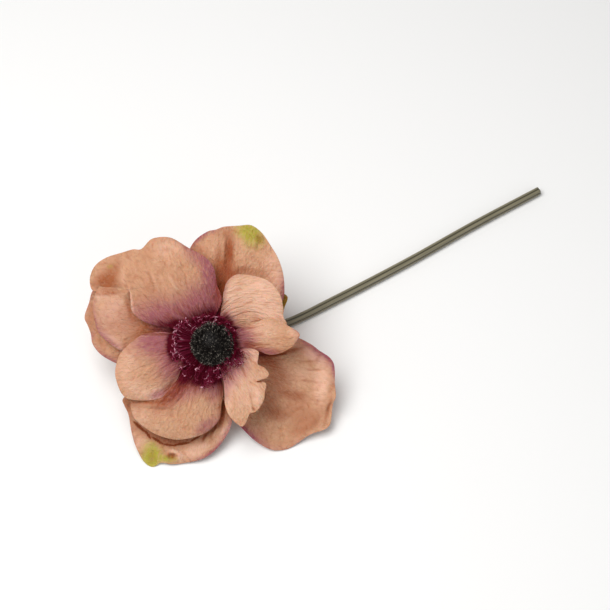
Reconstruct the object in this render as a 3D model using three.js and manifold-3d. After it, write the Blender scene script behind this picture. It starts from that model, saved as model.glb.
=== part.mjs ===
// A cut anemone flower, lying on its side on a flat surface.
// Units are millimetres and +Z is up. The stem runs along +X, away from the bloom.
// The bloom is drawn in its own frame: x to the right, y up its face and z out of its face, from the
// middle of the disc's seat. The frame is leaned back, so the lowest petals and the stem carry the flower.
import * as THREE from "three";
import { mergeVertices } from "three/addons/utils/BufferGeometryUtils.js";
import Module from "manifold-3d";

const wasm = await Module();
wasm.setup();

// How the bloom stands
const BLOOM_HEIGHT = 30; // the bloom's middle above the surface
const BLOOM_TILT = THREE.MathUtils.degToRad(60); // its face looks up at this elevation
const BLOOM_TURN = THREE.MathUtils.degToRad(33.6); // its face is turned this far from the stem's normal

// The petals
const BLADE = 0.65; // thickness of a petal, square to its surface
const LAYER = 1.5; // least rise of a petal over the one beneath it, measured along z
const LAYER_BLEND = 1.2; // how softly a petal lifts over the one beneath it
const OVERHANG = 1; // a petal stays lifted this far past the edge beneath it
const OVERHANG_FALL = 0.25; // and then comes down by this much a square millimetre
const CLAW_RADIUS = 7.6; // the petals' narrow roots stand on a circle of this radius
const CLAW_HALF_ANGLE = 22; // half the angle that a root takes on that circle
const SPINE = [7, 25, 50]; // distances from the axis at which a petal's spine heights are given
const SPOKES = 36; // facets round a petal's edge
const RINGS = 6; // facets from a petal's middle to its edge
const EDGE_SAMPLES = 720; // points along an edge from which its reach is read
const SLOPE_STEP = 0.3; // distance over which a petal's slope is taken
const STEEPEST = 2; // a steep stretch is thickened along z by this factor at most

// The disc, a knob on a short neck
const DISC_RADIUS = 8.8;
const DISC_FOOT = 2.3; // height of the neck's foot
const DISC_NECK_RADIUS = 4.7;
const DISC_NECK_TOP = 3.8;
const DISC_WAIST = 5.2; // height of the knob's widest circle
const DISC_TOP = 10.4;
const BRISTLE = 0.4; // how far the bristles stand out
const DISC_SEGMENTS = 40;
const DISC_RINGS = 9;

// The stamens
const STAMEN_COUNT = 56;
const STAMEN_RING = { inner: 5, outer: 8.2, foot: 2.3, top: 3.5 };
const STAMEN_RING_SEGMENTS = 20;
const STAMEN_ROOT_RADIUS = 7.2;
const STAMEN_REACH = [12.4, 16.6]; // shortest and longest reach from the axis
const STAMEN_HEIGHTS = [2.9, 5, 6.8]; // at the root, at the arch and under the anther
const STAMEN_ARCH_RADIUS = 10;
const STAMEN_LIFT = 0.6; // some stamens rise this much higher
const STAMEN_SWAY = 0.12; // and lean this much to one side, in radians
const STAMEN_SIDES = 3;
const STAMEN_RADIUS = 0.34;
const ANTHER_LENGTH = 1.3;
const ANTHER_RADIUS = 0.62;

// The stem and its swollen top, the receptacle
const STEM_RADIUS = 2.05; // at the bloom
const STEM_END_RADIUS = 1.86; // at the cut
const STEM_RIBS = 5;
const RIB_HALF_ANGLE = 16; // half the width of a rib's flat crest, in degrees
const GROOVE_SHARE = 0.79; // a groove's radius as a share of a rib's
// The receptacle's outline: heights on the bloom's axis, from its flat top down, with its radius at each
const RECEPTACLE = [
  [2, 6.4],
  [-4.5, 6.4],
  [-6.8, 4.6],
  [-7.6, 2.9],
];
const STEM_STEPS = 38;
const STEM_CROWDING = 1.6; // above 1, the steps are shorter round the bend behind the bloom
const STEM_TOUCHDOWN = 21.5; // the stem lies on the surface from this far along X

// Small numbers drawn from a seed, so that every build is the same
function seededRandom(seed) {
  let state = seed;
  return () => {
    state = (state + 0x6d2b79f5) | 0;
    let t = Math.imul(state ^ (state >>> 15), 1 | state);
    t = (t + Math.imul(t ^ (t >>> 7), 61 | t)) ^ t;
    return ((t ^ (t >>> 14)) >>> 0) / 4294967296;
  };
}

const radians = THREE.MathUtils.degToRad;

function material(color, roughness) {
  return new THREE.MeshStandardMaterial({ color, roughness, metalness: 0 });
}

// Each petal, from the lowest layer to the highest.
// direction: the way its root points, in degrees from the bloom's x axis
// middle: a point inside it, from which its whole edge can be seen
// edge: points along its edge, anticlockwise, without the two corners of its root
// spine: its height at the three distances of SPINE
// cup: how much its sides rise (or fall) with the square of the distance from the spine
// roll: how far its rim is turned up (or down); wave: [height, count, phase] of the rim's waves
// forms: [x, y, length, width, angle, height] of each fold, dent or swelling
const PETALS = [
  {
    name: "petal_outer_left_back",
    direction: 182,
    middle: [-30, 6],
    edge: [
      [-18, -9], [-13, 8.5], [-24, 17], [-36, 24.5], [-45.5, 24.5], [-49.1, 20.7], [-50.5, 16.3],
      [-52.3, 10.3], [-51, 7.1], [-49.9, 3.9], [-49.1, -0.2], [-45.8, -4.3], [-39.6, -8], [-30, -11.5],
    ],
    spine: [-5, -4, -6.5],
    cup: 0,
    roll: 0.8,
    wave: [0.6, 7, 0.5],
    forms: [],
  },
  {
    name: "petal_outer_right",
    direction: 28,
    middle: [19, 11],
    edge: [
      [14, 1.5], [22, 4.5], [27, 9], [28.7, 14.5], [29.9, 18.8], [27, 20.5], [19, 19.5], [10, 13],
    ],
    spine: [-5, -6.5, -9],
    cup: 0,
    roll: 0.5,
    wave: [0.3, 4, 0],
    forms: [],
  },
  {
    name: "petal_outer_lower",
    direction: 252,
    middle: [-15, -31],
    edge: [
      [5.6, -19], [6.9, -27.5], [7.3, -32.5], [3.5, -40], [-2.3, -45.6], [-8.5, -47.9], [-16.9, -48.9],
      [-21.3, -48.4], [-24.7, -50.1], [-28, -48.3], [-31, -43.1], [-32.3, -39.6], [-33.3, -35.2],
      [-34.6, -28.3], [-36.1, -25.2], [-36.8, -22.6], [-31, -19], [-18, -13],
    ],
    spine: [-4.5, -5.5, -5.84],
    cup: 0.001,
    roll: 0.6,
    wave: [0.5, 6, 1],
    forms: [
      [-16.6, -46.2, 3, 3, 0, 1],
      [-26, -50, 6, 6, 0, -1.2],
      [-12, -36, 13, 6, 0, 2],
    ],
  },
  {
    name: "petal_outer_lower_right",
    direction: 322,
    middle: [28, -19],
    edge: [
      [2.6, -14], [3.2, -21], [7.4, -27.8], [11.2, -34.2], [16.5, -39.6], [23.3, -43.3], [27, -43.6],
      [30.4, -42.9], [33.7, -40.9], [39.2, -37.2], [45.6, -34.8], [47.2, -32.9], [48.3, -25],
      [49.5, -21.7], [49.1, -16.6], [49.1, -11.6], [48.6, -8.2], [46.9, -5.8], [42.9, -3.1],
      [38.8, -0.1], [31, 3], [19, 1],
    ],
    spine: [-4.5, -9.5, -10.71],
    cup: 0.004,
    roll: 0.8,
    wave: [0.6, 7, 2],
    forms: [[32, -22, 9, 6, 60, -1.2]],
  },
  {
    name: "petal_outer_top",
    direction: 72,
    middle: [9, 29],
    edge: [
      [15, 8], [24.5, 12], [28.2, 17.8], [28.6, 23.5], [27.9, 29.2], [25.9, 34.8], [23.4, 39],
      [19.1, 45.1], [15, 47.8], [10.6, 47.6], [3.8, 47.1], [1, 46], [-2.1, 45.3], [-7.5, 41.5],
      [-10.5, 36], [-11.5, 28], [-7, 18],
    ],
    spine: [-4.2, -2.5, -4.5],
    cup: -0.002,
    roll: -0.6,
    wave: [0.5, 6, 0],
    forms: [
      [6.3, 37, 9, 2.6, 84, -1.5],
      [12, 36, 9, 3, 84, 0.8],
    ],
  },
  {
    name: "petal_outer_left_front",
    direction: 165,
    middle: [-28, 11],
    edge: [
      [-12, 13], [-24, 23], [-36, 27.5], [-44.5, 24.5], [-48.4, 17.5], [-48.1, 10.4], [-46.7, 5],
      [-42.2, 0.3], [-37.4, -2.8], [-29, -6.5], [-18, -6],
    ],
    spine: [-3.5, -1, -3],
    cup: -0.003,
    roll: -0.6,
    wave: [0.3, 5, 0],
    forms: [[-42, 25.5, 7, 7, 0, -2.8]],
  },
  {
    name: "petal_inner_lower",
    direction: 245,
    middle: [-13, -25],
    edge: [
      [-15, -11.5], [-26, -16.5], [-32.6, -21.5], [-32.2, -28.9], [-28.5, -32.9], [-23, -36.3],
      [-15.6, -38.5], [-9.5, -38], [-3.4, -36], [1.2, -32.3], [2.8, -29.8], [3.4, -24.6], [4, -20.4],
      [3.6, -16],
    ],
    spine: [-2, 3, 1.5],
    cup: -0.004,
    roll: -2.6,
    wave: [0.3, 5, 0.5],
    forms: [],
  },
  {
    name: "petal_inner_upper_right",
    direction: 45,
    middle: [16, 15],
    edge: [
      [16, 2], [25, 3], [29.7, 7.4], [28.4, 10.8], [28.3, 14.3], [26.8, 20], [23, 24.6], [18.5, 26.6],
      [12.5, 27.6], [9, 27.4], [5.8, 24.8], [4.5, 21.1], [3.5, 15.4],
    ],
    spine: [-2.5, 6, 4],
    cup: -0.008,
    roll: -1,
    wave: [0.2, 4, 0],
    forms: [[27.5, 6, 5, 4, 0, 1.2]],
  },
  {
    name: "petal_inner_upper_left",
    direction: 130,
    middle: [-16, 24],
    edge: [
      [3.6, 17.1], [1.8, 23.5], [0.4, 30.4], [-3.1, 34.7], [-9.4, 38.2], [-16.8, 42.4], [-21.4, 42.7],
      [-24.9, 41.8], [-28.9, 37.8], [-32, 37.8], [-36.5, 36.6], [-43.4, 34.5], [-48, 31.2],
      [-49.9, 26], [-48.8, 21.4], [-41, 20.6], [-33.6, 21.3], [-32.6, 16.4], [-31.8, 12.5], [-27, 8.7],
      [-17.2, 6.3],
    ],
    spine: [-1, 6, 1],
    cup: -0.004,
    roll: -1.5,
    wave: [0.3, 6, 0],
    forms: [
      [-41.8, 25.8, 3.6, 3.6, 0, -1.8],
      [-42.5, 20.3, 6.5, 3.2, 0, -3.4],
    ],
  },
  {
    name: "petal_inner_left",
    direction: 195,
    middle: [-24, -9],
    edge: [
      [-17.9, 4.4], [-24.2, 4.4], [-27.9, 3.7], [-31.6, 1.1], [-34.6, -1.5], [-37, -4.4],
      [-38.8, -11], [-38.2, -15.2], [-35.1, -21.2], [-28.7, -22.7], [-21.6, -22], [-19.4, -20.7],
      [-14.3, -14.4], [-12.4, -10],
    ],
    spine: [-1, 6, 3],
    cup: -0.007,
    roll: -1.5,
    wave: [0.2, 5, 0],
    forms: [],
  },
  {
    name: "petal_inner_right",
    direction: 8,
    middle: [21, 3],
    edge: [
      [18.3, -1.7], [23.4, -4], [27, -3.6], [31.5, -1.3], [33.1, 0.5], [34.9, 3.6], [34.2, 4.8],
      [32.7, 5.8], [29.6, 7.6], [25.5, 9.8], [21.2, 10.2], [16.3, 7.8], [9.8, 5.8],
    ],
    spine: [-0.8, 8.5, 8],
    cup: -0.02,
    roll: -1.2,
    wave: [0.2, 4, 0],
    forms: [[27, 9, 5, 3, -20, -1.6]],
  },
  {
    name: "petal_inner_lower_right",
    direction: 310,
    middle: [13, -15],
    edge: [
      [3.7, -12.6], [4.7, -17.8], [5.1, -24.7], [7.3, -29.3], [12.1, -32.9], [14.2, -29.7],
      [14.8, -27.9], [17.6, -26.8], [20.6, -22.2], [21, -19], [21.4, -15.8], [18.7, -14.6],
      [21.7, -13.5], [22.6, -12.1], [20.8, -9.6], [18.1, -8], [18.3, -5.5], [18.4, -3.2], [14.8, -1.9],
    ],
    spine: [0, 6.5, 6],
    cup: -0.006,
    roll: -0.6,
    wave: [0.5, 9, 0],
    forms: [],
  },
];

// A petal's closed edge as points at equal steps: a smooth curve through its edge points and its root
function edgeCurve(petal, count) {
  const root = [-CLAW_HALF_ANGLE, CLAW_HALF_ANGLE].map((turn) => {
    const angle = radians(petal.direction + turn);
    return [CLAW_RADIUS * Math.cos(angle), CLAW_RADIUS * Math.sin(angle)];
  });
  const [mx, my] = petal.middle;
  const points = [...petal.edge, ...root].map(([x, y]) => ({
    angle: Math.atan2(y - my, x - mx),
    point: new THREE.Vector3(x, y, 0),
  }));
  points.sort((a, b) => a.angle - b.angle);
  const curve = new THREE.CatmullRomCurve3(
    points.map((entry) => entry.point),
    true,
    "centripetal",
  );
  curve.arcLengthDivisions = 2 * EDGE_SAMPLES;
  return Array.from({ length: count }, (_, i) => curve.getPointAt(i / count));
}

// The distance from a petal's middle to its edge, for every direction, from many points along the edge
function edgeReach(petal) {
  const [mx, my] = petal.middle;
  const samples = edgeCurve(petal, EDGE_SAMPLES).map((point) => ({
    angle: Math.atan2(point.y - my, point.x - mx),
    reach: Math.hypot(point.x - mx, point.y - my),
  }));
  samples.sort((a, b) => a.angle - b.angle);
  const first = samples[0];
  const last = samples[samples.length - 1];
  samples.unshift({ angle: last.angle - 2 * Math.PI, reach: last.reach });
  samples.push({ angle: first.angle + 2 * Math.PI, reach: first.reach });
  return (angle) => {
    let low = 0;
    let high = samples.length - 1;
    while (high - low > 1) {
      const half = (low + high) >> 1;
      if (samples[half].angle <= angle) low = half;
      else high = half;
    }
    const a = samples[low];
    const b = samples[high];
    const share = b.angle > a.angle ? (angle - a.angle) / (b.angle - a.angle) : 0;
    return a.reach + (b.reach - a.reach) * share;
  };
}

// The parabola through three heights at the distances of SPINE
function spineHeight([h0, h1, h2], s) {
  const [s0, s1, s2] = SPINE;
  const slope = (h1 - h0) / (s1 - s0);
  const bend = ((h2 - h1) / (s2 - s1) - slope) / (s2 - s0);
  return h0 + slope * (s - s0) + bend * (s - s0) * (s - s1);
}

// A petal's own height at a point of the bloom's plane, before the layers beneath lift it
function ownHeight(petal, x, y) {
  const dx = x - petal.middle[0];
  const dy = y - petal.middle[1];
  const angle = Math.atan2(dy, dx);
  const reach = petal.reach(angle);
  const distance = Math.hypot(dx, dy);
  const share = Math.min(distance / reach, 1);
  const turn = radians(petal.direction);
  const along = x * Math.cos(turn) + y * Math.sin(turn);
  const across = y * Math.cos(turn) - x * Math.sin(turn);
  const [waveHeight, waveCount, wavePhase] = petal.wave;
  let height = spineHeight(petal.spine, along) + petal.cup * across ** 2;
  height += petal.roll * share ** 4;
  height += waveHeight * share ** 3 * Math.sin(waveCount * angle + wavePhase);
  for (const [fx, fy, length, width, formAngle, rise] of petal.forms) {
    const c = Math.cos(radians(formAngle));
    const s = Math.sin(radians(formAngle));
    const u = ((x - fx) * c + (y - fy) * s) / length;
    const v = ((y - fy) * c - (x - fx) * s) / width;
    height += rise * Math.exp(-u * u - v * v);
  }
  return { height, past: Math.max(distance - reach, 0) };
}

// The middle surface of the petal at place index: its own height, lifted clear of each petal beneath
function layeredHeight(index, x, y) {
  const below = [];
  let height = 0;
  for (let i = 0; i <= index; i++) {
    const own = ownHeight(PETALS[i], x, y);
    height = own.height;
    for (const lower of below) {
      const least = lower.height + LAYER - OVERHANG_FALL * Math.max(lower.past - OVERHANG, 0) ** 2;
      const gap = height - least;
      height = (height + least + Math.sqrt(gap * gap + LAYER_BLEND * LAYER_BLEND)) / 2;
    }
    below.push({ height, past: own.past });
  }
  return height;
}

// Half a petal's thickness measured along z, so that it is BLADE square to the surface
function halfThickness(index, x, y, height) {
  const slopeX = (layeredHeight(index, x + SLOPE_STEP, y) - height) / SLOPE_STEP;
  const slopeY = (layeredHeight(index, x, y + SLOPE_STEP) - height) / SLOPE_STEP;
  return (BLADE / 2) * Math.min(Math.hypot(1, slopeX, slopeY), STEEPEST);
}

// A petal as one closed solid: two like faces of spokes and rings about its middle, joined at the rim
function petalGeometry(index) {
  const petal = PETALS[index];
  const [mx, my] = petal.middle;
  const rim = edgeCurve(petal, SPOKES);
  const flat = [[mx, my]];
  for (let ring = 1; ring <= RINGS; ring++) {
    const share = ring / RINGS;
    for (const point of rim) flat.push([mx + (point.x - mx) * share, my + (point.y - my) * share]);
  }
  const upper = [];
  const lower = [];
  for (const [x, y] of flat) {
    const height = layeredHeight(index, x, y);
    const half = halfThickness(index, x, y, height);
    upper.push(x, y, height + half);
    lower.push(x, y, height - half);
  }
  const count = flat.length;
  const faces = [];
  const addBoth = (a, b, c) => {
    faces.push(a, b, c);
    faces.push(count + c, count + b, count + a);
  };
  const at = (ring, spoke) => 1 + (ring - 1) * SPOKES + (spoke % SPOKES);
  for (let spoke = 0; spoke < SPOKES; spoke++) {
    addBoth(0, at(1, spoke), at(1, spoke + 1));
    for (let ring = 1; ring < RINGS; ring++) {
      addBoth(at(ring, spoke), at(ring + 1, spoke), at(ring + 1, spoke + 1));
      addBoth(at(ring, spoke), at(ring + 1, spoke + 1), at(ring, spoke + 1));
    }
    const a = at(RINGS, spoke);
    const b = at(RINGS, spoke + 1);
    faces.push(a, count + a, count + b);
    faces.push(a, count + b, b);
  }
  return indexed([...upper, ...lower], faces);
}

function indexed(positions, faces) {
  const geometry = new THREE.BufferGeometry();
  geometry.setAttribute("position", new THREE.Float32BufferAttribute(positions, 3));
  geometry.setIndex(faces);
  return geometry;
}

// A closed skin over rings of equal counts of points, with a point at each end
function ringSkin(start, rings, end) {
  const sides = rings[0].length;
  const positions = [start, ...rings.flat(), end].flat();
  const last = 1 + rings.length * sides;
  const faces = [];
  const at = (ring, side) => 1 + ring * sides + (side % sides);
  for (let side = 0; side < sides; side++) {
    faces.push(0, at(0, side + 1), at(0, side));
    for (let ring = 0; ring + 1 < rings.length; ring++) {
      faces.push(at(ring, side), at(ring, side + 1), at(ring + 1, side + 1));
      faces.push(at(ring, side), at(ring + 1, side + 1), at(ring + 1, side));
    }
    faces.push(last, at(rings.length - 1, side), at(rings.length - 1, side + 1));
  }
  return indexed(positions, faces);
}

// The disc: a neck, then a dome whose every other point stands out as a bristle
function discGeometry() {
  const rings = [];
  const circle = (radius, z, offset) =>
    Array.from({ length: DISC_SEGMENTS }, (_, i) => {
      const angle = (2 * Math.PI * i) / DISC_SEGMENTS;
      const out = radius + offset(i);
      return [out * Math.cos(angle), out * Math.sin(angle), z];
    });
  const plain = () => 0;
  rings.push(circle(DISC_NECK_RADIUS, DISC_FOOT, plain));
  rings.push(circle(DISC_NECK_RADIUS, DISC_NECK_TOP, plain));
  for (let ring = 0; ring < DISC_RINGS; ring++) {
    const lift = (ring / DISC_RINGS) * (Math.PI / 2);
    const z = DISC_WAIST + (DISC_TOP - DISC_WAIST) * Math.sin(lift);
    const radius = (DISC_RADIUS - BRISTLE) * Math.cos(lift);
    rings.push(circle(radius, z, (i) => ((i + ring) % 2) * BRISTLE));
  }
  return ringSkin([0, 0, DISC_FOOT], rings, [0, 0, DISC_TOP]);
}

// A tube of few sides along points, with a radius at each
function fewSided(points, radii, sides) {
  const rings = points.map((point, i) => {
    const before = points[Math.max(i - 1, 0)];
    const after = points[Math.min(i + 1, points.length - 1)];
    const along = after.clone().sub(before).normalize();
    const level = new THREE.Vector3(-along.y, along.x, 0).normalize();
    const rise = along.clone().cross(level);
    return Array.from({ length: sides }, (_, k) => {
      const angle = (2 * Math.PI * k) / sides;
      const corner = point.clone();
      corner.addScaledVector(level, radii[i] * Math.cos(angle));
      corner.addScaledVector(rise, radii[i] * Math.sin(angle));
      return corner.toArray();
    });
  });
  return ringSkin(points[0].toArray(), rings, points[points.length - 1].toArray());
}

// A geometry as a solid that can be joined to others
function solid(geometry) {
  const bare = geometry.clone();
  bare.deleteAttribute("normal");
  bare.deleteAttribute("uv");
  const merged = mergeVertices(bare, 1e-4);
  return new wasm.Manifold(
    new wasm.Mesh({
      numProp: 3,
      vertProperties: new Float32Array(merged.attributes.position.array),
      triVerts: new Uint32Array(merged.index.array),
    }),
  );
}

function geometryOf(joined) {
  const mesh = joined.getMesh();
  return indexed(Array.from(mesh.vertProperties), Array.from(mesh.triVerts));
}

// The stamens: filaments that arch out of a low ring and end in anthers, all one solid
function stamensGeometry() {
  const random = seededRandom(11);
  const { inner, outer, foot, top } = STAMEN_RING;
  const profile = [
    [inner, foot],
    [outer, foot],
    [outer, top],
    [inner, top],
    [inner, foot],
  ];
  const ring = new THREE.LatheGeometry(
    profile.map(([r, z]) => new THREE.Vector2(r, z)),
    STAMEN_RING_SEGMENTS,
  );
  ring.rotateX(Math.PI / 2);
  let joined = solid(ring);
  for (let i = 0; i < STAMEN_COUNT; i++) {
    const angle = (2 * Math.PI * (i + 0.5 * random())) / STAMEN_COUNT;
    const reach = THREE.MathUtils.lerp(...STAMEN_REACH, random());
    const lean = STAMEN_SWAY * (random() - 0.5);
    const lift = STAMEN_LIFT * random();
    const [low, arch, high] = STAMEN_HEIGHTS;
    const place = (radius, z, turn) =>
      new THREE.Vector3(radius * Math.cos(angle + turn), radius * Math.sin(angle + turn), z);
    const points = [
      place(STAMEN_ROOT_RADIUS, low, 0),
      place(STAMEN_ARCH_RADIUS, arch + lift, lean),
      place(reach - ANTHER_LENGTH, high + lift, -lean),
      place(reach - ANTHER_LENGTH / 2, high + lift, 0),
      place(reach, high + lift, lean),
    ];
    const radii = [STAMEN_RADIUS, STAMEN_RADIUS, STAMEN_RADIUS, ANTHER_RADIUS, ANTHER_RADIUS / 2];
    joined = joined.add(solid(fewSided(points, radii, STAMEN_SIDES)));
  }
  return geometryOf(joined);
}

// The bloom's axes in the part's frame
const turnCos = Math.cos(BLOOM_TURN);
const turnSin = Math.sin(BLOOM_TURN);
const right = new THREE.Vector3(turnCos, -turnSin, 0);
const facing = new THREE.Vector3(
  -turnSin * Math.cos(BLOOM_TILT),
  -turnCos * Math.cos(BLOOM_TILT),
  Math.sin(BLOOM_TILT),
);
const upward = facing.clone().cross(right);

// The stem's middle line, from the bloom's back down to the surface and along it to the cut
function stemCurve() {
  const behind = (distance) =>
    new THREE.Vector3(0, 0, BLOOM_HEIGHT).addScaledVector(facing, -distance);
  const level = STEM_RADIUS;
  const points = [
    behind(8),
    behind(14),
    behind(20), // the last point of the straight run behind the bloom
    new THREE.Vector3(9.5, 11.3, 6),
    new THREE.Vector3(15, 12.2, 2.6),
    new THREE.Vector3(STEM_TOUCHDOWN, 11.2, level),
    new THREE.Vector3(29, 8, level),
    new THREE.Vector3(38, 4.9, level),
    new THREE.Vector3(64, 2.8, level),
    new THREE.Vector3(100, 1.2, level),
    new THREE.Vector3(135, 0.7, level),
    new THREE.Vector3(168, -0.6, level),
  ];
  return new THREE.CatmullRomCurve3(points, false, "centripetal");
}

// The stem's cross-section: flat-topped ribs with a groove between each two, one rib straight down
function stemSection(radius) {
  const corners = [];
  for (let rib = 0; rib < STEM_RIBS; rib++) {
    const middle = -90 + (360 * rib) / STEM_RIBS;
    corners.push([middle - RIB_HALF_ANGLE, radius]);
    corners.push([middle + RIB_HALF_ANGLE, radius]);
    corners.push([middle + 180 / STEM_RIBS, radius * GROOVE_SHARE]);
  }
  return corners.map(([angle, out]) => [
    out * Math.cos(radians(angle)),
    out * Math.sin(radians(angle)),
  ]);
}

// The stem with the receptacle: the section carried along the middle line, swelling at the bloom
function stemGeometry() {
  const curve = stemCurve();
  const places = Array.from(
    { length: STEM_STEPS + 1 },
    (_, i) => (i / STEM_STEPS) ** STEM_CROWDING,
  );
  const samples = places.map((share) => ({
    point: curve.getPointAt(share),
    along: curve.getTangentAt(share),
    radius: THREE.MathUtils.lerp(STEM_RADIUS, STEM_END_RADIUS, share),
  }));
  // From the cut end back to the bloom, so that one rib stays straight down along the surface
  let up = new THREE.Vector3(0, 0, 1);
  for (let i = samples.length - 1; i >= 0; i--) {
    const sample = samples[i];
    up = up.clone().addScaledVector(sample.along, -up.dot(sample.along)).normalize();
    sample.up = up;
    sample.side = up.clone().cross(sample.along);
    const restHeight = sample.radius * Math.cos(radians(RIB_HALF_ANGLE));
    sample.point.z = Math.max(sample.point.z, restHeight);
    if (sample.point.x > STEM_TOUCHDOWN) sample.point.z = restHeight;
  }
  const ringAt = (sample, corners) =>
    corners.map(([a, b]) =>
      sample.point.clone().addScaledVector(sample.side, a).addScaledVector(sample.up, b).toArray(),
    );
  const onAxis = (height) =>
    new THREE.Vector3(0, 0, BLOOM_HEIGHT).addScaledVector(facing, height);
  const round = ([a, b], radius) => [a, b].map((value) => (value * radius) / Math.hypot(a, b));
  const seat = RECEPTACLE.map(([height, radius]) => {
    const corners = stemSection(radius).map((corner) => round(corner, radius));
    return ringAt({ ...samples[0], point: onAxis(height) }, corners);
  });
  const stalk = samples.map((sample) => ringAt(sample, stemSection(sample.radius)));
  const end = samples[samples.length - 1].point;
  return ringSkin(onAxis(RECEPTACLE[0][0]).toArray(), [...seat, ...stalk], end.toArray());
}

function named(name, geometry, surface) {
  const mesh = new THREE.Mesh(geometry, surface);
  mesh.name = name;
  return mesh;
}

for (const petal of PETALS) petal.reach = edgeReach(petal);

const bloom = new THREE.Group();
bloom.quaternion.setFromRotationMatrix(new THREE.Matrix4().makeBasis(right, upward, facing));
bloom.position.set(0, 0, BLOOM_HEIGHT);
PETALS.forEach((petal, index) => {
  bloom.add(named(petal.name, petalGeometry(index), material(0xd9ae8c, 0.7)));
});
bloom.add(named("disc", discGeometry(), material(0x23241f, 0.9)));
bloom.add(named("stamens", stamensGeometry(), material(0x6e0a2d, 0.7)));

const flower = new THREE.Group();
flower.add(bloom);
flower.add(named("stem", stemGeometry(), material(0x7a735a, 0.5)));

// The origin is under the middle of the whole flower
flower.updateMatrixWorld(true);
const box = new THREE.Box3().setFromObject(flower, true);
flower.position.x = -(box.min.x + box.max.x) / 2;
flower.position.y = -(box.min.y + box.max.y) / 2;

export default flower;
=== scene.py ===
"""A cut anemone flower lying on a pale floor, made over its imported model.

Lengths in the tables are millimetres, and in the settings metres. The bloom is drawn in its own frame:
x to the right, y up its face and z out of its face, from the middle of the disc's seat. One petal is a
function of two parameters: a direction round its middle and a share of the way from there to its edge.
"""

import math

import bpy
import numpy as np
from bpy.props import FloatProperty, FloatVectorProperty, IntProperty, PointerProperty
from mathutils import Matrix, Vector


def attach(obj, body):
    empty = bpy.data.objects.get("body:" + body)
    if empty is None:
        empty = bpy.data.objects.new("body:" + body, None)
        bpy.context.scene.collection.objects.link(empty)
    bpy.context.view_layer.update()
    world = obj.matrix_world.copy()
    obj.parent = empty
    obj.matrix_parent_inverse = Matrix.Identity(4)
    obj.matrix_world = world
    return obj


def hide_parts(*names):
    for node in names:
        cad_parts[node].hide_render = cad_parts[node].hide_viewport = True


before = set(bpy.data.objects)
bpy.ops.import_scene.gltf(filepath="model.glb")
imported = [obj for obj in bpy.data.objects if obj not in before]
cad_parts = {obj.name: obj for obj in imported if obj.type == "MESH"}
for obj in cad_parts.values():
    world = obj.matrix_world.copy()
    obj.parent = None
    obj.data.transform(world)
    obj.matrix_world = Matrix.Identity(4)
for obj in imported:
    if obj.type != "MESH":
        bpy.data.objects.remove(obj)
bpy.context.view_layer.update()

bl_info = {
    "name": "Anemone Flower",
    "version": (1, 0, 0),
    "blender": (4, 5, 0),
    "location": "View3D > Sidebar > Anemone",
    "description": "Makes a cut anemone with wrinkled petals, a bristly disc, stamens and a ribbed stem",
    "category": "Add Mesh",
}

MM = 0.001

# How the bloom stands
BLOOM_TILT = math.radians(60)
BLOOM_TURN = math.radians(33.6)
RIGHT = np.array([math.cos(BLOOM_TURN), -math.sin(BLOOM_TURN), 0.0])
FACING = np.array(
    [
        -math.sin(BLOOM_TURN) * math.cos(BLOOM_TILT),
        -math.cos(BLOOM_TURN) * math.cos(BLOOM_TILT),
        math.sin(BLOOM_TILT),
    ]
)
UPWARD = np.cross(FACING, RIGHT)

# The petals' layers and roots
LAYER = 1.5  # a petal's middle surface lies about this far above the one beneath, or farther
LAYER_BLEND = 1.2  # its own height and that lift blend over about this much
OVERHANG = 1.0  # this far past the lower petal's edge, the lift begins to fall
OVERHANG_FALL = 0.25  # by this times the squared distance
FAR = 100.0  # stands for the space beneath where no petal lies
PRESS_REACH = 1.3  # a rim is pressed down while the petal beneath is about this much farther than LAYER
PRESS_WIDTH = 3.0  # and over this distance from its edge
REST_GAP = 0.55  # pressed fully, it rests with its middle surface this far above the one beneath
PRESS_SHARE = 0.8  # and it comes down this much of the way
CLAW_RADIUS = 7.6
CLAW_HALF_ANGLE = math.radians(22)
SPINE = (7.0, 25.0, 50.0)  # how far from the axis the three heights of a petal's spine are given

# The petals' grid
SPOKE_SPACING = 0.38
RING_SPACING = 0.42
LIP_START = 1.6  # the even rings end this many half thicknesses from the edge
LIP_STEPS = (0.8, 0.3, 0.06)  # and the last ones lie this many from it
SLOPE_STEP = 0.15  # the surface's slope is taken over this distance
CURVE_SAMPLES = 40  # points on each piece of a smooth curve
OUTLINE_POINTS = 800
RIM_PIECES = 240
RIM_MARGIN = 1
RIM_CELL = 0.5
JUST_INSIDE = 1.001  # keeps a place in the map before its last row and column

# The veins, where a petal's table doesn't say otherwise
VEIN_FOCUS = 6  # they meet this far behind the bloom's axis
VEIN_RADIUS = 25  # at this radius an angle between them counts as a length
VEIN_BEND_START = 10
VEIN_UNIT = 10  # this many millimetres are one unit of the uv map

# The wrinkles: their sizes across and along the veins, and the radii between which they set in or end
NOISE_CELLS = 128
DRIFT = 1.5
DRIFT_SIZE = (6, 5)
GATHER_SIZE = (0.95, 8)
GATHER_START = (8, 11)
GATHER_END = (17, 26)
WRINKLE_START = (9, 14)  # where a rim begins to be pressed down too
FINE_SIZE = (0.85, 2.2)
FINE_SHARE = 0.5
BROAD_SIZE = (4.5, 9)
BROAD_SHARE = 1.3
MIDDLING_SIZE = (2.3, 4)
MIDDLING_SHARE = 0.8
MIDDLING_SLANT = 3  # they cross the veins by one in this many
DIMPLE_SIZE = 0.6  # of the oval ridge round it
DIMPLE_DEPTH = 0.8  # of that ridge's height
PETAL_SEED = 100
SEEDS_EACH = 10

# The paint's borders, and the radii between which the pleats' painted shade ends
RAGGED_SIZE = (1.8, 9)
RAGGED_BLUSH = 0.8
RAGGED_SPOT = 0.05
PLEAT_END = (13, 24)
PLAIN_PLEATS = 0.5  # how strong they are where a petal's table doesn't say
CREASE_SHADE_END = (-1.0, 0.1)  # heights of the wrinkles, as shares of the setting, between which the creases' painted shade ends
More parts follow.
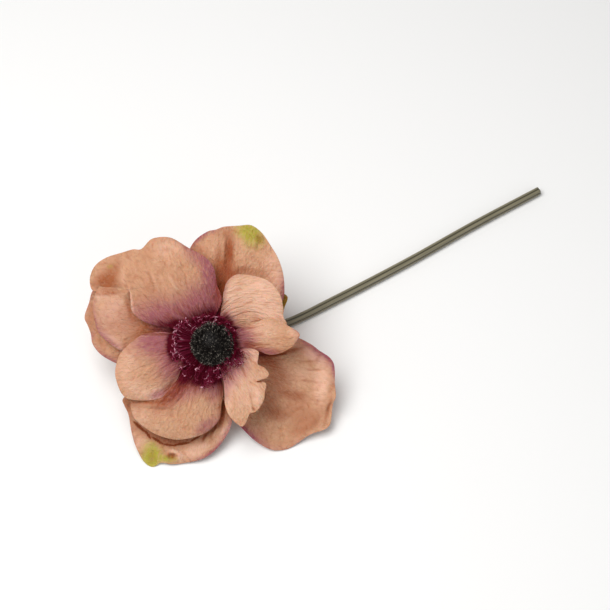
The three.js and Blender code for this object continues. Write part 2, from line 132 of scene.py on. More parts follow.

# Painted shadow beside an upper petal's edge, which falls to the right and down
SHADE_SHIFT = 1.2
RIGHT_SHARE = 0.5
DOWN_SHARE = 0.8
SHADE_WIDTH = 3.2
SHADE_STRENGTH = 0.55

# Between which heights of its hill a spot fades, and where a colour has its own
PLAIN_FADE = (0.05, 1.0)
SPOT_FADE = {"deep": (0.38, 0.66)}

# The petals' cloth: each pattern's stretch on the veins, then its scale, detail, roughness and twist
CREPE = ((2.0, 1.0, 1.0), 5.6, 2.0, 0.6, 0.5)
STREAKS = ((4.0, 0.7, 1.0), 5.0, 2.0, 0.6, 0.3)
PLEATS = ((2.0, 0.4, 1.0), 5.0, 1.0, 0.5, 0.5)
# the same on the part's own coordinates, with no stretch and no twist
CLOUDS = (110.0, 3.0, 0.5)
GRAIN = (2200.0, 2.0, 0.6)
# how strong and how deep each one's relief is, in metres
CREPE_RELIEF = (1.0, 0.00095)
PLEAT_RELIEF = (1.0, 0.0011)
GRAIN_RELIEF = (0.3, 0.00015)
# what the petals' colour is multiplied by in the clouds, and as painted shade in the crepe's creases
CLOUD_TINT = (1.05, 1.08, 1.12)
WARM_TINT = (0.97, 0.94, 0.9)
CREPE_SHADE_TINT = (0.78, 0.66, 0.58)
CREPE_SHADE_STRENGTH = 0.6
# between which greys of its noise each one changes
CLOUD_RANGE = (0.3, 0.7)
CREPE_SHADE_RANGE = (0.35, 0.65)
PLEAT_RANGE = (0.4, 0.58)
# how much of a painted colour shows where the streaks are darkest, and how much more where lightest
LIGHT_FRAY = 0.1
DARK_FRAY = 0.4
FRAY_GAIN = 1.8

# Each finish, as values of the shader's sockets
CLOTH_FINISH = {
    "Roughness": 0.65,
    "Specular IOR Level": 0.09,
    "Subsurface Weight": 0.45,
    "Subsurface Radius": (1.0, 0.35, 0.18),
    "Subsurface Scale": 0.0006,
}
FIBRE_FINISH = {"Roughness": 0.4, "Specular IOR Level": 0.2}
THREAD_FINISH = {"Roughness": 0.45, "Specular IOR Level": 0.04}
STEM_FINISH = {"Roughness": 0.38}
PAPER_FINISH = {"Roughness": 0.9}

# The disc: radii, and heights above the middle of its seat
DISC_RADIUS = 8.8
DISC_FOOT = 2.3
DISC_NECK_RADIUS = 4.7
DISC_NECK_TOP = 3.8
DISC_WAIST = 5.2
DISC_TOP = 10.4
DOME_DEPTH = 1.3  # the dome lies this far below the bristles' tips
DOME_STEPS = 20
CORE_SEGMENTS = 72  # round the dome, and round the ring under the stamens

# The bristles, at four shares of their length: their radii, and how far a painted glint can lighten them
BRISTLE_SHARES = (0, 0.4, 0.75, 1)
BRISTLE_RADII = (0.14, 0.12, 0.085, 0.04)
BRISTLE_TONES = (0, 0.02, 0.2, 1)
BRISTLE_PALE_POWER = 6.5  # the higher this is, the fewer have a painted glint
BRISTLE_LENGTHS = (0.75, 1.15)
BRISTLE_GIRTHS = (0.8, 1.25)
BRISTLE_LEAN = 0.2
BRISTLE_SPREAD = 1.12  # above 1 they go on below the dome's widest ring
BRISTLE_DEPTH = 0.2  # their roots lie this far inside the dome
BRISTLE_SIDES = 4
UPRIGHT = 0.9  # a thread that rises more steeply than this takes its ring's guide from another axis
DISC_SEED = 21

# Each petal, from the lowest layer to the highest.
# direction: the way out from the bloom's axis along its spine, in degrees
# middle: the point that its rings draw together to
# edge: points of its outline, which its root's two corners close
# spine: its heights at the distances of SPINE
# cup: what its height gains with the squared distance from the spine
# roll: how far its rim rises
# wave: the height, number and phase of the waves in its rim
# forms: x, y, length, width, angle and height of each broad fold, dent or swelling
# folds: the same for the narrow ones
# swirls: x, y, half length, half width, height and sharpness of each oval ridge round a dimple
# veins: the direction that they run in, how far behind the bloom's axis they meet, and their bend
# gather: the height of the folds at its root, as a share of the setting, 1 if not given
# pleats: how strongly the finer pleats at its root show
# tone: how much painted shade lies evenly over the whole petal
# shaded: how much painted shadow the petals above leave round their edges, 1 if not given
# blush: the radius and the fade of the dark heart, then of the mauve round it
# rims: x, y, reach, width and strength of each purple stretch of the edge
# spots: colour, x, y, length, width, angle and strength of each painted patch; below 0 it takes paint away
# Of the spots, the shade, red-brown and deep ones are painted shade and shadow, and the pale ones partly
# paler colour, partly painted highlight.
PETALS = {
    "petal_outer_left_back": {
        "direction": 182,
        "middle": (-30, 6),
        "edge": [
            (-18, -9), (-13, 8.5), (-24, 17), (-36, 24.5), (-45.5, 24.5), (-49.1, 20.7), (-50.5, 16.3),
            (-52.3, 10.3), (-51, 7.1), (-49.9, 3.9), (-49.1, -0.2), (-45.8, -4.3), (-39.6, -8), (-30, -11.5),
        ],
        "spine": (-5, -4, -6.5),
        "cup": 0,
        "roll": 0.8,
        "wave": (0.6, 7, 0.5),
        "forms": [],
        "folds": [(-49, 21.5, 3, 3, 0, 2.2)],
        "blush": (14, 3, 16, 4),
        "rims": [(-40, -8, 12, 1.5, 0.8), (-49, 20, 8, 0.8, 0.4)],
        "spots": [
            ("pale", -49, 18, 3, 3, 0, 0.3), ("shade", -49.6, 12, 7, 1.6, 90, 0.25),
            ("shade", -46, 0.5, 3, 1.2, -50, 0.3), ("shade", -50.6, 7, 4, 1.4, 90, 0.25),
            ("mauve", -50, 2, 4, 1.2, 60, 0.4),
        ],
        "shaded": 0.45,
    },
    "petal_outer_right": {
        "direction": 28,
        "middle": (19, 11),
        "edge": [
            (14, 1.5), (22, 4.5), (27, 9), (28.7, 14.5), (29.9, 18.8), (27, 20.5), (19, 19.5), (10, 13),
        ],
        "spine": (-5, -6.5, -9),
        "cup": 0,
        "roll": 0.5,
        "wave": (0.3, 4, 0),
        "forms": [],
        "folds": [],
        "blush": (12, 3, 14, 4),
        "rims": [],
        "spots": [("green", 30, 17, 6, 6, 0, 1.0), ("shade", 30, 17, 6, 6, 0, 0.5)],
    },
    "petal_outer_lower": {
        "direction": 252,
        "middle": (-15, -31),
        "edge": [
            (5.6, -19), (6.9, -27.5), (7.3, -32.5), (3.5, -40), (-2.3, -45.6), (-8.5, -47.9), (-16.9, -48.9),
            (-21.3, -48.4), (-24.7, -50.1), (-28, -48.3), (-31, -43.1), (-32.3, -39.6), (-33.3, -35.2),
            (-34.6, -28.3), (-36.1, -25.2), (-36.8, -22.6), (-31, -19), (-18, -13),
        ],
        "spine": (-4.5, -5.5, -5.84),
        "cup": 0.001,
        "roll": 0.6,
        "wave": (0.5, 6, 1),
        "forms": [(-16.6, -46.2, 3, 3, 0, 1), (-26, -50, 6, 6, 0, -1.2), (-12, -36, 13, 6, 0, 2)],
        "folds": [
            (-22, -43.5, 4, 1.2, 70, 0.4), (-8, -44, 5, 1.2, 20, 0.3), (-22, -40.8, 8, 1.4, -22, 0.7),
            (-1, -38, 5, 0.7, 45, 0.4), (-2.8, -36.6, 4, 0.6, 45, -0.4),
        ],
        "swirls": [(-16.5, -45.6, 2.6, 1.9, 0.9, 0.28)],
        "shaded": 0.45,
        "blush": (14, 3, 16, 4),
        "rims": [(0, -44, 9, 1.3, 0.9), (6, -34, 6, 2.2, 0.5), (-33, -36, 7, 0.8, 0.3)],
        "spots": [
            ("green", -25.2, -46.6, 6, 4.4, 80, 1.2), ("green", -25.5, -42, 3.4, 2.8, 0, 0.4),
            ("green", -20, -46.5, 2, 1.6, 0, 0.5), ("green", -18.5, -46.8, 4, 1.6, 0, 0.7),
            ("shade", -25, -46.5, 3.4, 2.2, 80, 0.35), ("shade", -17.2, -45.6, 2.4, 1.6, 0, 0.9),
            ("pale", -15.4, -43.9, 2.6, 0.7, -18, 1.8), ("pale", -13.5, -45.7, 0.8, 1.6, 0, 2.2),
            ("pale", -7, -43, 7, 3, 20, 0.8), ("pale", 4.5, -36, 5, 2, 60, 1.0),
            ("shade", 3, -38, 7, 3, 60, -0.6), ("pale", -29, -40.5, 4, 3, 0, 0.5),
            ("red_shadow", -23, -37, 10, 3.2, -24, 0.4), ("red_shadow", -14, -39.4, 7, 1.8, 4, 0.55),
            ("deep", -30, -33.8, 3.8, 0.7, -42, 1.0), ("deep", -26.6, -36.9, 2.6, 0.6, -55, 1.0),
            ("deep", -22.6, -39.4, 3.6, 0.6, -32, 1.0), ("deep", -17.5, -41.2, 3, 0.6, -8, 1.0),
            ("deep", -13, -40.6, 4.4, 0.6, 10, 1.0), ("deep", -7.4, -38.4, 3, 0.6, 34, 0.9),
            ("red_shadow", -3.6, -37.4, 2.6, 0.7, 68, 0.9), ("red_shadow", 0.4, -34.4, 3.6, 0.7, 62, 0.7),
            ("shade", -1.5, -34.5, 6, 1.6, 48, 0.7), ("red_shadow", 3.4, -29.5, 6, 1.4, 78, 0.8),
            ("deep", 4, -24.5, 6, 1.3, 86, 0.9), ("shade", -35, -25, 4, 1.5, 100, 0.5),
        ],
    },
    "petal_outer_lower_right": {
        "direction": 322,
        "middle": (28, -19),
        "edge": [
            (2.6, -14), (3.2, -21), (7.4, -27.8), (11.2, -34.2), (16.5, -39.6), (23.3, -43.3), (27, -43.6),
            (30.4, -42.9), (33.7, -40.9), (39.2, -37.2), (45.6, -34.8), (47.2, -32.9), (48.3, -25),
            (49.5, -21.7), (49.1, -16.6), (49.1, -11.6), (48.6, -8.2), (46.9, -5.8), (42.9, -3.1),
            (38.8, -0.1), (31, 3), (19, 1),
        ],
        "spine": (-4.5, -9.5, -10.71),
        "cup": 0.004,
        "roll": 0.8,
        "wave": (0.6, 7, 2),
        "forms": [(32, -22, 9, 6, 60, -1.2)],
        "folds": [
            (39, -7.4, 4.5, 0.7, 0, -0.4), (40.6, -11, 4.5, 0.7, 0, -0.4), (39, -15.6, 4.5, 0.8, -5, -0.35),
            (46.4, -24.5, 3, 0.7, 50, 0.45), (46.8, -28, 2.6, 0.6, 110, -0.45), (45, -32, 3, 0.7, 40, 0.4),
            (41, -30.5, 8, 1.6, 50, 0.6), (45.8, -23, 5, 1.3, 78, 0.5), (34, -37.6, 5, 1.5, 25, 0.5),
            (46, -12, 7, 1.2, 88, 0.4),
        ],
        "tone": 0.02,
        "shaded": 0.35,
        "blush": (14, 3, 16, 4),
        "rims": [
            (41, -2.5, 9, 1.7, 0.9), (49, -9, 6, 1.4, 0.8), (16, -38, 9, 2.0, 0.8), (33, -42, 6, 0.8, 0.3),
            (12, -35, 4, 1.2, 0.9),
        ],
        "spots": [
            ("deep", 20, -4, 4.4, 1.5, 4, 1.0), ("heart", 19.8, -4.4, 3.4, 1.6, 0, 0.5),
            ("deep", 25.5, -4.6, 5, 0.7, 6, 0.9), ("red_shadow", 21.5, -6.5, 7, 3.6, -25, 0.6),
            ("shade", 24, -18, 12, 8, 70, -0.6), ("red_shadow", 25, -12.5, 8, 5, -40, 0.4),
            ("red_shadow", 23, -21, 9, 5, 60, 0.35), ("red_shadow", 24.8, -28.4, 5, 3.6, -10, 0.5),
            ("red_shadow", 32.5, -21.5, 6, 2.8, -12, 0.5), ("pale", 37, -12.5, 5, 4, 0, 0.35),
            ("shade", 34, -28, 7, 5, 0, 0.35), ("red_shadow", 29, -3.6, 8, 1.2, 14, 0.7),
            ("shade", 38.6, -7.4, 3.4, 0.6, 2, 0.5), ("shade", 40.6, -11, 3.6, 0.6, 2, 0.5),
            ("shade", 39, -15.6, 5, 0.7, -6, 0.4), ("pale", 42, -5.4, 9, 3, -34, 0.9),
            ("shade", 38, -32, 10, 4, 40, 0.4), ("pale", 43.5, -15, 9, 3.4, 88, 1.0),
            ("shade", 38, -34.5, 6, 1.8, 32, 0.35), ("mauve", 17, -35.5, 6, 3, -40, 0.2),
            ("mauve", 41, -4.6, 10, 2.8, -32, 0.3), ("shade", 46.2, -27.5, 6, 0.8, 75, 0.7),
        ],
    },
    "petal_outer_top": {
        "direction": 72,
        "middle": (9, 29),
        "edge": [
            (15, 8), (24.5, 12), (28.2, 17.8), (28.6, 23.5), (27.9, 29.2), (25.9, 34.8), (23.4, 39),
            (19.1, 45.1), (15, 47.8), (10.6, 47.6), (3.8, 47.1), (1, 46), (-2.1, 45.3), (-7.5, 41.5),
            (-10.5, 36), (-11.5, 28), (-7, 18),
        ],
        "spine": (-4.2, -2.5, -4.5),
        "cup": -0.002,
        "roll": -0.6,
        "wave": (0.5, 6, 0),
        "forms": [(6.3, 37, 9, 2.6, 84, -1.5), (12, 36, 9, 3, 84, 0.8)],
        "folds": [
            (2.8, 14.5, 6, 2.8, 85, 2.2), (6.2, 37, 8, 1.6, 88, -0.8), (9.3, 38, 8, 0.8, 88, 0.7),
            (2.2, 35, 5.5, 1.0, 88, -0.4), (4.1, 36, 6, 0.7, 88, 0.25), (17, 40, 6, 1.4, 60, 0.3),
            (22.6, 26.2, 2, 1.2, 140, -0.4),
        ],
        "tone": 0.06,
        "shaded": 0.5,
        "blush": (11, 2, 14, 4),
        "rims": [(28.5, 21, 7, 2.0, 0.8), (-5, 43, 7, 1.4, 0.9)],
        "spots": [
            ("green", 14.5, 45.2, 6, 4.2, -8, 1.0), ("green", 16, 41, 4.6, 3.6, 0, 0.5),
            ("green", 18, 42.5, 3, 1.6, -45, 0.6), ("shade", 18.3, 42.2, 2, 1.6, -45, 0.6),
            ("shade", 6.2, 36.5, 8, 2.3, 88, 1.0), ("red_shadow", 6.4, 36, 7, 1.6, 88, 0.35),
            ("shade", 2.2, 35, 6.5, 1.5, 88, 0.55), ("red_shadow", 8, 28.2, 7, 1.8, 22, 0.5),
            ("shade", 15, 29.2, 6, 1.4, -8, 0.35), ("shade", 4, 28, 8, 6, 80, 0.8),
            ("deep", 3.6, 18, 9, 3.4, 86, 1.0), ("red_shadow", 4, 26, 8, 4, 82, 0.9),
            ("heart", 3, 11.5, 3, 3, 90, 0.8), ("shade", 5, 44.5, 5, 3, 0, 0.25),
            ("pale", 24.5, 30, 9, 4, 105, 0.5), ("pale", 26, 22, 8, 3.8, 90, 1.1),
            ("shade", -6, 36, 6, 3, 130, 0.2),
        ],
    },
    "petal_outer_left_front": {
        "direction": 165,
        "middle": (-28, 11),
        "edge": [
            (-12, 13), (-24, 23), (-36, 27.5), (-44.5, 24.5), (-48.4, 17.5), (-48.1, 10.4), (-46.7, 5),
            (-42.2, 0.3), (-37.4, -2.8), (-29, -6.5), (-18, -6),
        ],
        "spine": (-3.5, -1, -3),
        "cup": -0.003,
        "roll": -0.6,
        "wave": (0.3, 5, 0),
        "forms": [(-42, 25.5, 7, 7, 0, -2.8)],
        "folds": [
            (-30, 3, 5, 1.2, 60, 0.3), (-34, 1, 5, 1.1, 60, -0.3), (-41, 22, 9, 4, 0, 1.5),
            (-47, 21, 4, 3, 0, 1.3), (-33.6, 21.2, 2.4, 2, 0, 2.2), (-21, 7, 6, 3, -5, 2.2),
            (-34.5, 19.5, 4, 3.5, 0, 1.9),
        ],
        "tone": 0.04,
        "shaded": 0.55,
        "blush": (18, 3, 23, 5),
        "rims": [(-43, 1, 9, 2.4, 0.75), (-48, 12, 7, 0.9, 0.4)],
        "spots": [
            ("shade", -33.8, 14, 6, 1.0, 102, 0.6), ("shade", -36, 19.4, 2.6, 2.4, 0, -0.6),
            ("shade", -29, 3, 7, 3, 25, 0.55), ("shade", -25, 5, 9, 4, -25, 0.7),
            ("mauve", -19, 6, 7, 3, -8, 1.0), ("heart", -18, 6, 6, 2.4, -8, 0.3),
            ("pale", -41, 15, 7, 5.5, 90, 0.45), ("shade", -41.5, 20.8, 6, 1.8, 0, 0.55),
            ("mauve", -38, 10, 12, 9, 0, 0.22), ("shade", -33, 9, 5, 5, 0, 0.25),
            ("pale", -44, -1.6, 6, 1.4, -36, 0.6), ("pale", -46, 19.5, 4, 2.5, 0, 0.6),
            ("pale", -40.5, 0.5, 7, 2.4, -40, 0.9),
        ],
    },
    "petal_inner_lower": {
        "direction": 245,
        "middle": (-13, -25),
        "edge": [
            (-15, -11.5), (-26, -16.5), (-32.6, -21.5), (-32.2, -28.9), (-28.5, -32.9), (-23, -36.3),
            (-15.6, -38.5), (-9.5, -38), (-3.4, -36), (1.2, -32.3), (2.8, -29.8), (3.4, -24.6), (4, -20.4),
            (3.6, -16),
        ],
        "spine": (-2, 3, 1.5),
        "cup": -0.004,
        "roll": -2.6,
        "wave": (0.3, 5, 0.5),
        "forms": [],
        "folds": [
            (-23, -23.4, 8, 0.7, 0, -0.5), (-24, -24.7, 7, 0.7, -3, 0.5), (-22, -26, 6, 0.7, -6, -0.4),
            (-17, -19, 7, 0.6, 44, 0.3), (-16, -19.2, 7, 0.5, 44, -0.35),
            (-14.5, -20.6, 5.5, 0.5, 48, -0.35), (-13.2, -20.6, 5, 0.5, 50, 0.25),
            (-12, -20.6, 5, 0.5, 52, -0.25),
        ],
        "gather": 1.2,
        "tone": 0.06,
        "blush": (16, 1.8, 19, 4),
        "rims": [(0, -33, 6, 1.2, 0.7)],
        "spots": [
            ("mauve", -3, -32.6, 5.5, 2.4, 38, 0.6), ("mauve", 1, -17.5, 8, 4, 80, 0.6),
            ("mauve", -9, -19, 8, 4, 20, 0.45), ("shade", -15.5, -18.5, 10, 4, 48, 0.8),
            ("mauve", -14, -17, 11, 5, 48, 0.7), ("shade", -13, -15.6, 8, 3.2, 50, 0.9),
            ("heart", -11, -13, 4.8, 2.8, 50, 1.0), ("heart", -4, -15, 6, 2.2, 0, 0.9),
            ("shade", -26, -23.6, 7, 0.7, -2, 0.8), ("shade", -6, -16, 8, 2.4, 5, 0.6),
            ("shade", 3, -24, 9, 1.0, 88, 0.5), ("pale", -29, -28, 5, 5, 0, 0.4),
            ("shade", -16, -19.2, 8, 0.5, 44, 0.9), ("shade", -14.5, -20.6, 6, 0.5, 48, 0.7),
            ("shade", -12, -20.6, 5, 0.5, 52, 0.55), ("pale", -8.5, -16.4, 3, 1.4, 20, 0.5),
        ],
    },
    "petal_inner_upper_right": {
        "direction": 45,
        "middle": (16, 15),
        "edge": [
            (16, 2), (25, 3), (29.7, 7.4), (28.4, 10.8), (28.3, 14.3), (26.8, 20), (23, 24.6), (18.5, 26.6),
            (12.5, 27.6), (9, 27.4), (5.8, 24.8), (4.5, 21.1), (3.5, 15.4),
        ],
        "spine": (-2.5, 6, 4),
        "cup": -0.008,
        "roll": -1,
        "wave": (0.2, 4, 0),
        "forms": [(27.5, 6, 5, 4, 0, 1.2)],
        "folds": [],
        "veins": (48, 1, 0.035),
        "gather": 3.2,
        "shaded": 0,
        "blush": (11.2, 1.6, 12.6, 3),
        "rims": [(5.5, 23, 7, 1.2, 0.4)],
        "spots": [
            ("pale", 19, 19, 12, 11, 0, 0.9), ("pale", 7, 18, 9, 3, 80, 0.9), ("pale", 24, 11, 5, 5, 0, 1.0),
            ("pale", 8, 12.5, 3.4, 3, 45, 0.5), ("mauve", 4.4, 18, 7, 1.4, 90, 0.25),
            ("mauve", 6, 11.5, 3, 3, 60, 0.3), ("heart", 6.4, 9.8, 2.6, 1.4, 125, 0.6),
        ],
    },
    "petal_inner_upper_left": {
        "direction": 130,
        "middle": (-16, 24),
        "edge": [
            (3.6, 17.1), (1.8, 23.5), (0.4, 30.4), (-3.1, 34.7), (-9.4, 38.2), (-16.8, 42.4), (-21.4, 42.7),
            (-24.9, 41.8), (-28.9, 37.8), (-32, 37.8), (-36.5, 36.6), (-43.4, 34.5), (-48, 31.2),
            (-49.9, 26), (-48.8, 21.4), (-41, 20.6), (-33.6, 21.3), (-32.6, 16.4), (-31.8, 12.5), (-27, 8.7),
            (-17.2, 6.3),
        ],
        "spine": (-1, 6, 1),
        "cup": -0.004,
        "roll": -1.5,
        "wave": (0.3, 6, 0),
        "forms": [(-41.8, 25.8, 3.6, 3.6, 0, -1.8), (-42.5, 20.3, 6.5, 3.2, 0, -3.4)],
        "folds": [
            (-32.4, 17, 5, 0.9, 102, 0.6), (-38, 20, 6, 3.5, 0, -1.3), (-29, 20, 9, 1.6, 80, -0.3),
            (-48, 22.5, 4, 3, 0, -1.5), (-33, 19, 1.2, 0.6, 15, 0.6), (-32.4, 17.2, 1.2, 0.5, 5, -0.5),
            (-32.3, 15.6, 1.3, 0.6, 10, 0.6), (-31.8, 13.8, 1.2, 0.5, 0, 0.5),
            (-24, 25, 3.4, 0.6, 110, -0.4), (-22.8, 25.4, 3.4, 0.7, 110, 0.4),
            (-16.1, 24.8, 3, 0.7, 122, 0.45), (-10.5, 25.2, 3, 0.6, 102, -0.35),
            (-15.5, 22.2, 5.5, 0.7, 150, 0.3), (-0.9, 22.6, 2.8, 0.5, 127, 0.5),
            (0.3, 19.6, 2, 0.5, 60, 0.4), (-25.2, 17.4, 3.8, 0.6, 138, -0.35),
            (-28.3, 16.3, 3.2, 0.6, 130, 0.35), (-12, 31, 4, 0.8, 105, -0.3), (-27, 31, 4, 0.8, 100, 0.3),
            (-20, 34, 4, 0.8, 115, -0.3),
        ],
        "veins": (118, 26, 0),
        "gather": 1.2,
        "pleats": 0.35,
        "tone": 0.13,
        "blush": (14, 4, 18, 5),
        "rims": [(1, 28, 9, 2.2, 0.4), (-10, 38, 8, 1.2, 0.4)],
        "spots": [
            ("mauve", -17, 9, 19, 10, -5, 1.0), ("mauve", -4, 16, 10, 9, 0, 0.9),
            ("mauve", 0, 27, 13, 5.5, 100, 0.95), ("mauve", -6.5, 35.5, 7, 4, 135, 0.5),
            ("heart", -15, 6.6, 10, 2.7, -14, 0.75), ("heart", -13, 8.2, 4.4, 2.4, -10, 0.7),
            ("mauve", 2, 18, 8, 3, 95, 0.9), ("shade", 2.4, 21, 8, 1.6, 97, 0.9),
            ("pale", -32.6, 16.5, 5, 0.9, 102, 2.0), ("pale", -22.7, 25, 4.4, 0.8, 110, 0.35),
            ("shade", -24.2, 25.2, 4, 0.6, 110, 0.3), ("pale", -15.8, 24.6, 4, 0.8, 122, 0.4),
            ("shade", -10.7, 25.2, 3, 0.5, 102, 0.3), ("pale", -0.8, 22.4, 2.6, 0.5, 127, 0.7),
            ("pale", 0.3, 19.4, 2, 0.5, 60, 0.6), ("pale", -19.5, 24.5, 4, 0.8, 115, 0.3),
            ("pale", -17, 38, 9, 4, 0, 0.4), ("shade", -42.5, 25.2, 4.8, 4.6, 10, 1.0),
            ("shade", -39.4, 29.6, 4, 2.6, 60, 0.5), ("shade", -26, 21, 9, 6, 70, 0.16),
            ("green", -41.4, 30.9, 1.4, 1.0, 0, 0.4), ("pale", -36, 27, 6, 1.2, 88, 0.3),
            ("pale", -41, 21.2, 8, 1.8, 0, 0.1), ("shade", -41, 21, 8, 1.8, 0, -0.15),
            ("shade", -47.5, 23.4, 4, 2.6, 70, 0.3),
        ],
    },
    "petal_inner_left": {
        "direction": 195,
        "middle": (-24, -9),
        "edge": [
            (-17.9, 4.4), (-24.2, 4.4), (-27.9, 3.7), (-31.6, 1.1), (-34.6, -1.5), (-37, -4.4), (-38.8, -11),
            (-38.2, -15.2), (-35.1, -21.2), (-28.7, -22.7), (-21.6, -22), (-19.4, -20.7), (-14.3, -14.4),
            (-12.4, -10),
        ],
        "spine": (-1, 6, 3),
        "cup": -0.007,
        "roll": -1.5,
        "wave": (0.2, 5, 0),
        "forms": [],
        "folds": [
            (-17, -18, 8, 2.6, 48, -1.0), (-26, -22, 7, 2.2, -5, -0.5), (-23.5, -7.9, 5, 0.8, 22, -0.5),
            (-24.5, -9.6, 2.6, 0.6, 42, 0.3), (-26.6, -11.4, 2.6, 0.6, 46, 0.3),
            (-21, -10.4, 4, 0.7, 48, 0.3), (-18.5, -12, 3.6, 0.7, 58, 0.3),
        ],
        "veins": (205, 4, 0),
        "gather": 1.2,
        "tone": 0.1,
        "blush": (14.2, 1.2, 19, 4),
        "rims": [(-22, -20, 6, 1.0, 0.3)],
        "spots": [
            ("heart", -15, -0.2, 6.8, 3.3, 90, 2.0), ("pale", -13, -7.2, 3.5, 2, -20, 0.7),
            ("mauve", -21, 1, 12, 7, 5, 1.0), ("mauve", -16, -8, 9, 7, 60, 0.8),
            ("pale", -21.5, -20, 6, 3, 20, 0.8), ("mauve", -21.5, -20.2, 4.6, 2.2, 20, 0.7),
            ("shade", -22.5, -20, 5, 2.4, 10, -0.6), ("shade", -15.5, -11, 7, 2.6, 62, 0.15),
            ("shade", -17.6, -17.4, 4.6, 1.3, 48, 0.75), ("mauve", -18, -18, 5, 2, 48, 0.35),
            ("pale", -34, -8, 9, 4, 70, 0.5), ("pale", -30, -18, 7, 4, -30, 0.55),
            ("deep", -23, 3.8, 7, 0.7, 2, 0.45),
        ],
    },
    "petal_inner_right": {
        "direction": 8,
        "middle": (21, 3),
        "edge": [
            (18.3, -2.9), (22.6, -4.3), (27, -3.7), (31.5, -1.3), (33.1, 0.5), (34.9, 3.6), (34.2, 4.8),
            (32.7, 5.8), (29.6, 7.6), (25.5, 9.8), (21.2, 10.2), (16.3, 7.8), (9.8, 5.8),
        ],
        "spine": (-0.8, 8.5, 8),
        "cup": -0.02,
        "roll": -1.2,
        "wave": (0.2, 4, 0),
        "forms": [(27, 9, 5, 3, -20, -1.6)],
        "folds": [(26, 8.6, 7, 1.6, -18, -0.9)],
        "veins": (5, 4, 0),
        "gather": 1.6,
        "pleats": 0.8,
        "tone": 0.06,
        "blush": (10, 1.5, 15, 4.5),
        "rims": [(33.8, 4, 3, 0.6, 0.5)],
        "spots": [
            ("pale", 13, 2, 7, 5, 0, 0.4), ("mauve", 12.5, 1.5, 6, 5, 0, 0.5),
            ("mauve", 21, -3, 7, 1.8, -4, 0.8), ("shade", 25, -3.3, 8, 1.8, 8, 0.4),
            ("pale", 20, 6, 8, 4, 0, 0.6), ("pale", 33, 4.5, 3, 3, 0, 0.5),
            ("shade", 14, 8.2, 6, 1.2, 22, 0.5),
        ],
    },
    "petal_inner_lower_right": {
        "direction": 310,
        "middle": (13, -15),
        "edge": [
            (3.7, -12.6), (4.7, -17.8), (5.1, -24.7), (7.3, -29.3), (12.1, -32.9), (14.2, -29.7),
            (14.8, -27.9), (17.6, -26.8), (20.6, -22.2), (21, -19), (21.4, -15.8), (18.7, -14.6),
            (21.7, -13.5), (22.6, -12.1), (20.8, -9.6), (18.1, -8), (18.3, -5.5), (18.4, -3.2), (14.8, -1.9),
        ],
        "spine": (0, 6.5, 6),
        "cup": -0.006,
        "roll": -0.6,
        "wave": (0.5, 9, 0),
        "forms": [],
        "folds": [
            (18.3, -20, 7, 2.2, -80, 0.5), (15.8, -23, 4, 0.5, -78, -0.35), (13.5, -15, 4, 0.6, -64, -0.3),
            (11.5, -18.5, 4.6, 0.6, -68, 0.3), (8, -22, 4.6, 0.6, -75, -0.3),
            (16.6, -25.8, 1, 0.5, -60, -0.5),
        ],
        "veins": (300, 12, 0),
        "gather": 0.9,
        "blush": (9.6, 1.4, 15, 6),
        "rims": [],
        "spots": [
            ("pale", 8, -12, 8, 5, 70, 0.9), ("mauve", 6.5, -13, 9, 4, 75, 0.35),
            ("mauve", 10, -8, 7, 6, 0, 0.2), ("mauve", 14.5, -5.5, 5, 4, 0, -0.35),
            ("shade", 9, -11, 10, 7, 0, -1.2), ("pale", 8, -12, 9, 5, 60, 0.5),
            ("mauve", 5.2, -17, 8, 2.2, 88, 0.4), ("pale", 6.6, -21, 8, 2, 88, 0.6),
            ("pale", 14, -19, 10, 7, 70, 0.5), ("pale", 18.4, -21, 4, 1.4, -78, 0.9),
            ("pale", 15.5, -4.5, 5, 4, 0, 1.2), ("shade", 15, -5, 6, 5, 0, -1),
            ("heart", 8.5, -4, 3, 2, -25, 0.8), ("shade", 15.8, -23, 4.2, 0.5, -78, 0.35),
            ("deep", 19.3, -14.9, 2, 0.45, 4, 0.9), ("shade", 16.6, -25.9, 1.2, 0.7, -60, 0.8),
        ],
    },
}

# The stem's middle line: how far behind the bloom it starts along its axis, then points measured from
# under the bloom's middle, and then where it lies on the floor
STEM_BEHIND = (8, 14, 20)
STEM_ROUTE = [(9.5, 11.3, 6), (15, 12.2, 2.6)]
STEM_LYING = [(21.5, 11.2), (29, 8), (38, 4.9), (64, 2.8), (100, 1.2), (135, 0.7), (168, -0.6)]
STEM_RADIUS = 2.05
STEM_END_RADIUS = 1.86
STEM_RINGS = 260
STEM_CROWDING = 1.35  # above 1 the rings lie closer together near the bloom
STEM_SIDES = 60
STEM_RIBS = 5
RIB_HALF_ANGLE = math.radians(16)
GROOVE_SHARE = 0.79
GROOVE_POWER = 1.6  # the higher this is, the narrower the grooves
STEEPEST_CREST = 0.5
RECEPTACLE = [(2, 6.4), (-4.5, 6.4), (-6.8, 4.6), (-7.6, 2.9)]  # heights and radii
RECEPTACLE_RINGS = 24
# its streaks: their stretch on the part's own coordinates, then scale, detail and roughness
STEM_STREAKS = ((60.0, 1400.0, 1400.0), 1.0, 3.0, 0.55)
STREAK_RANGE = (0.45, 0.75)
STREAK_STRENGTH = 0.5
STREAK_RELIEF = (0.15, 0.0001)

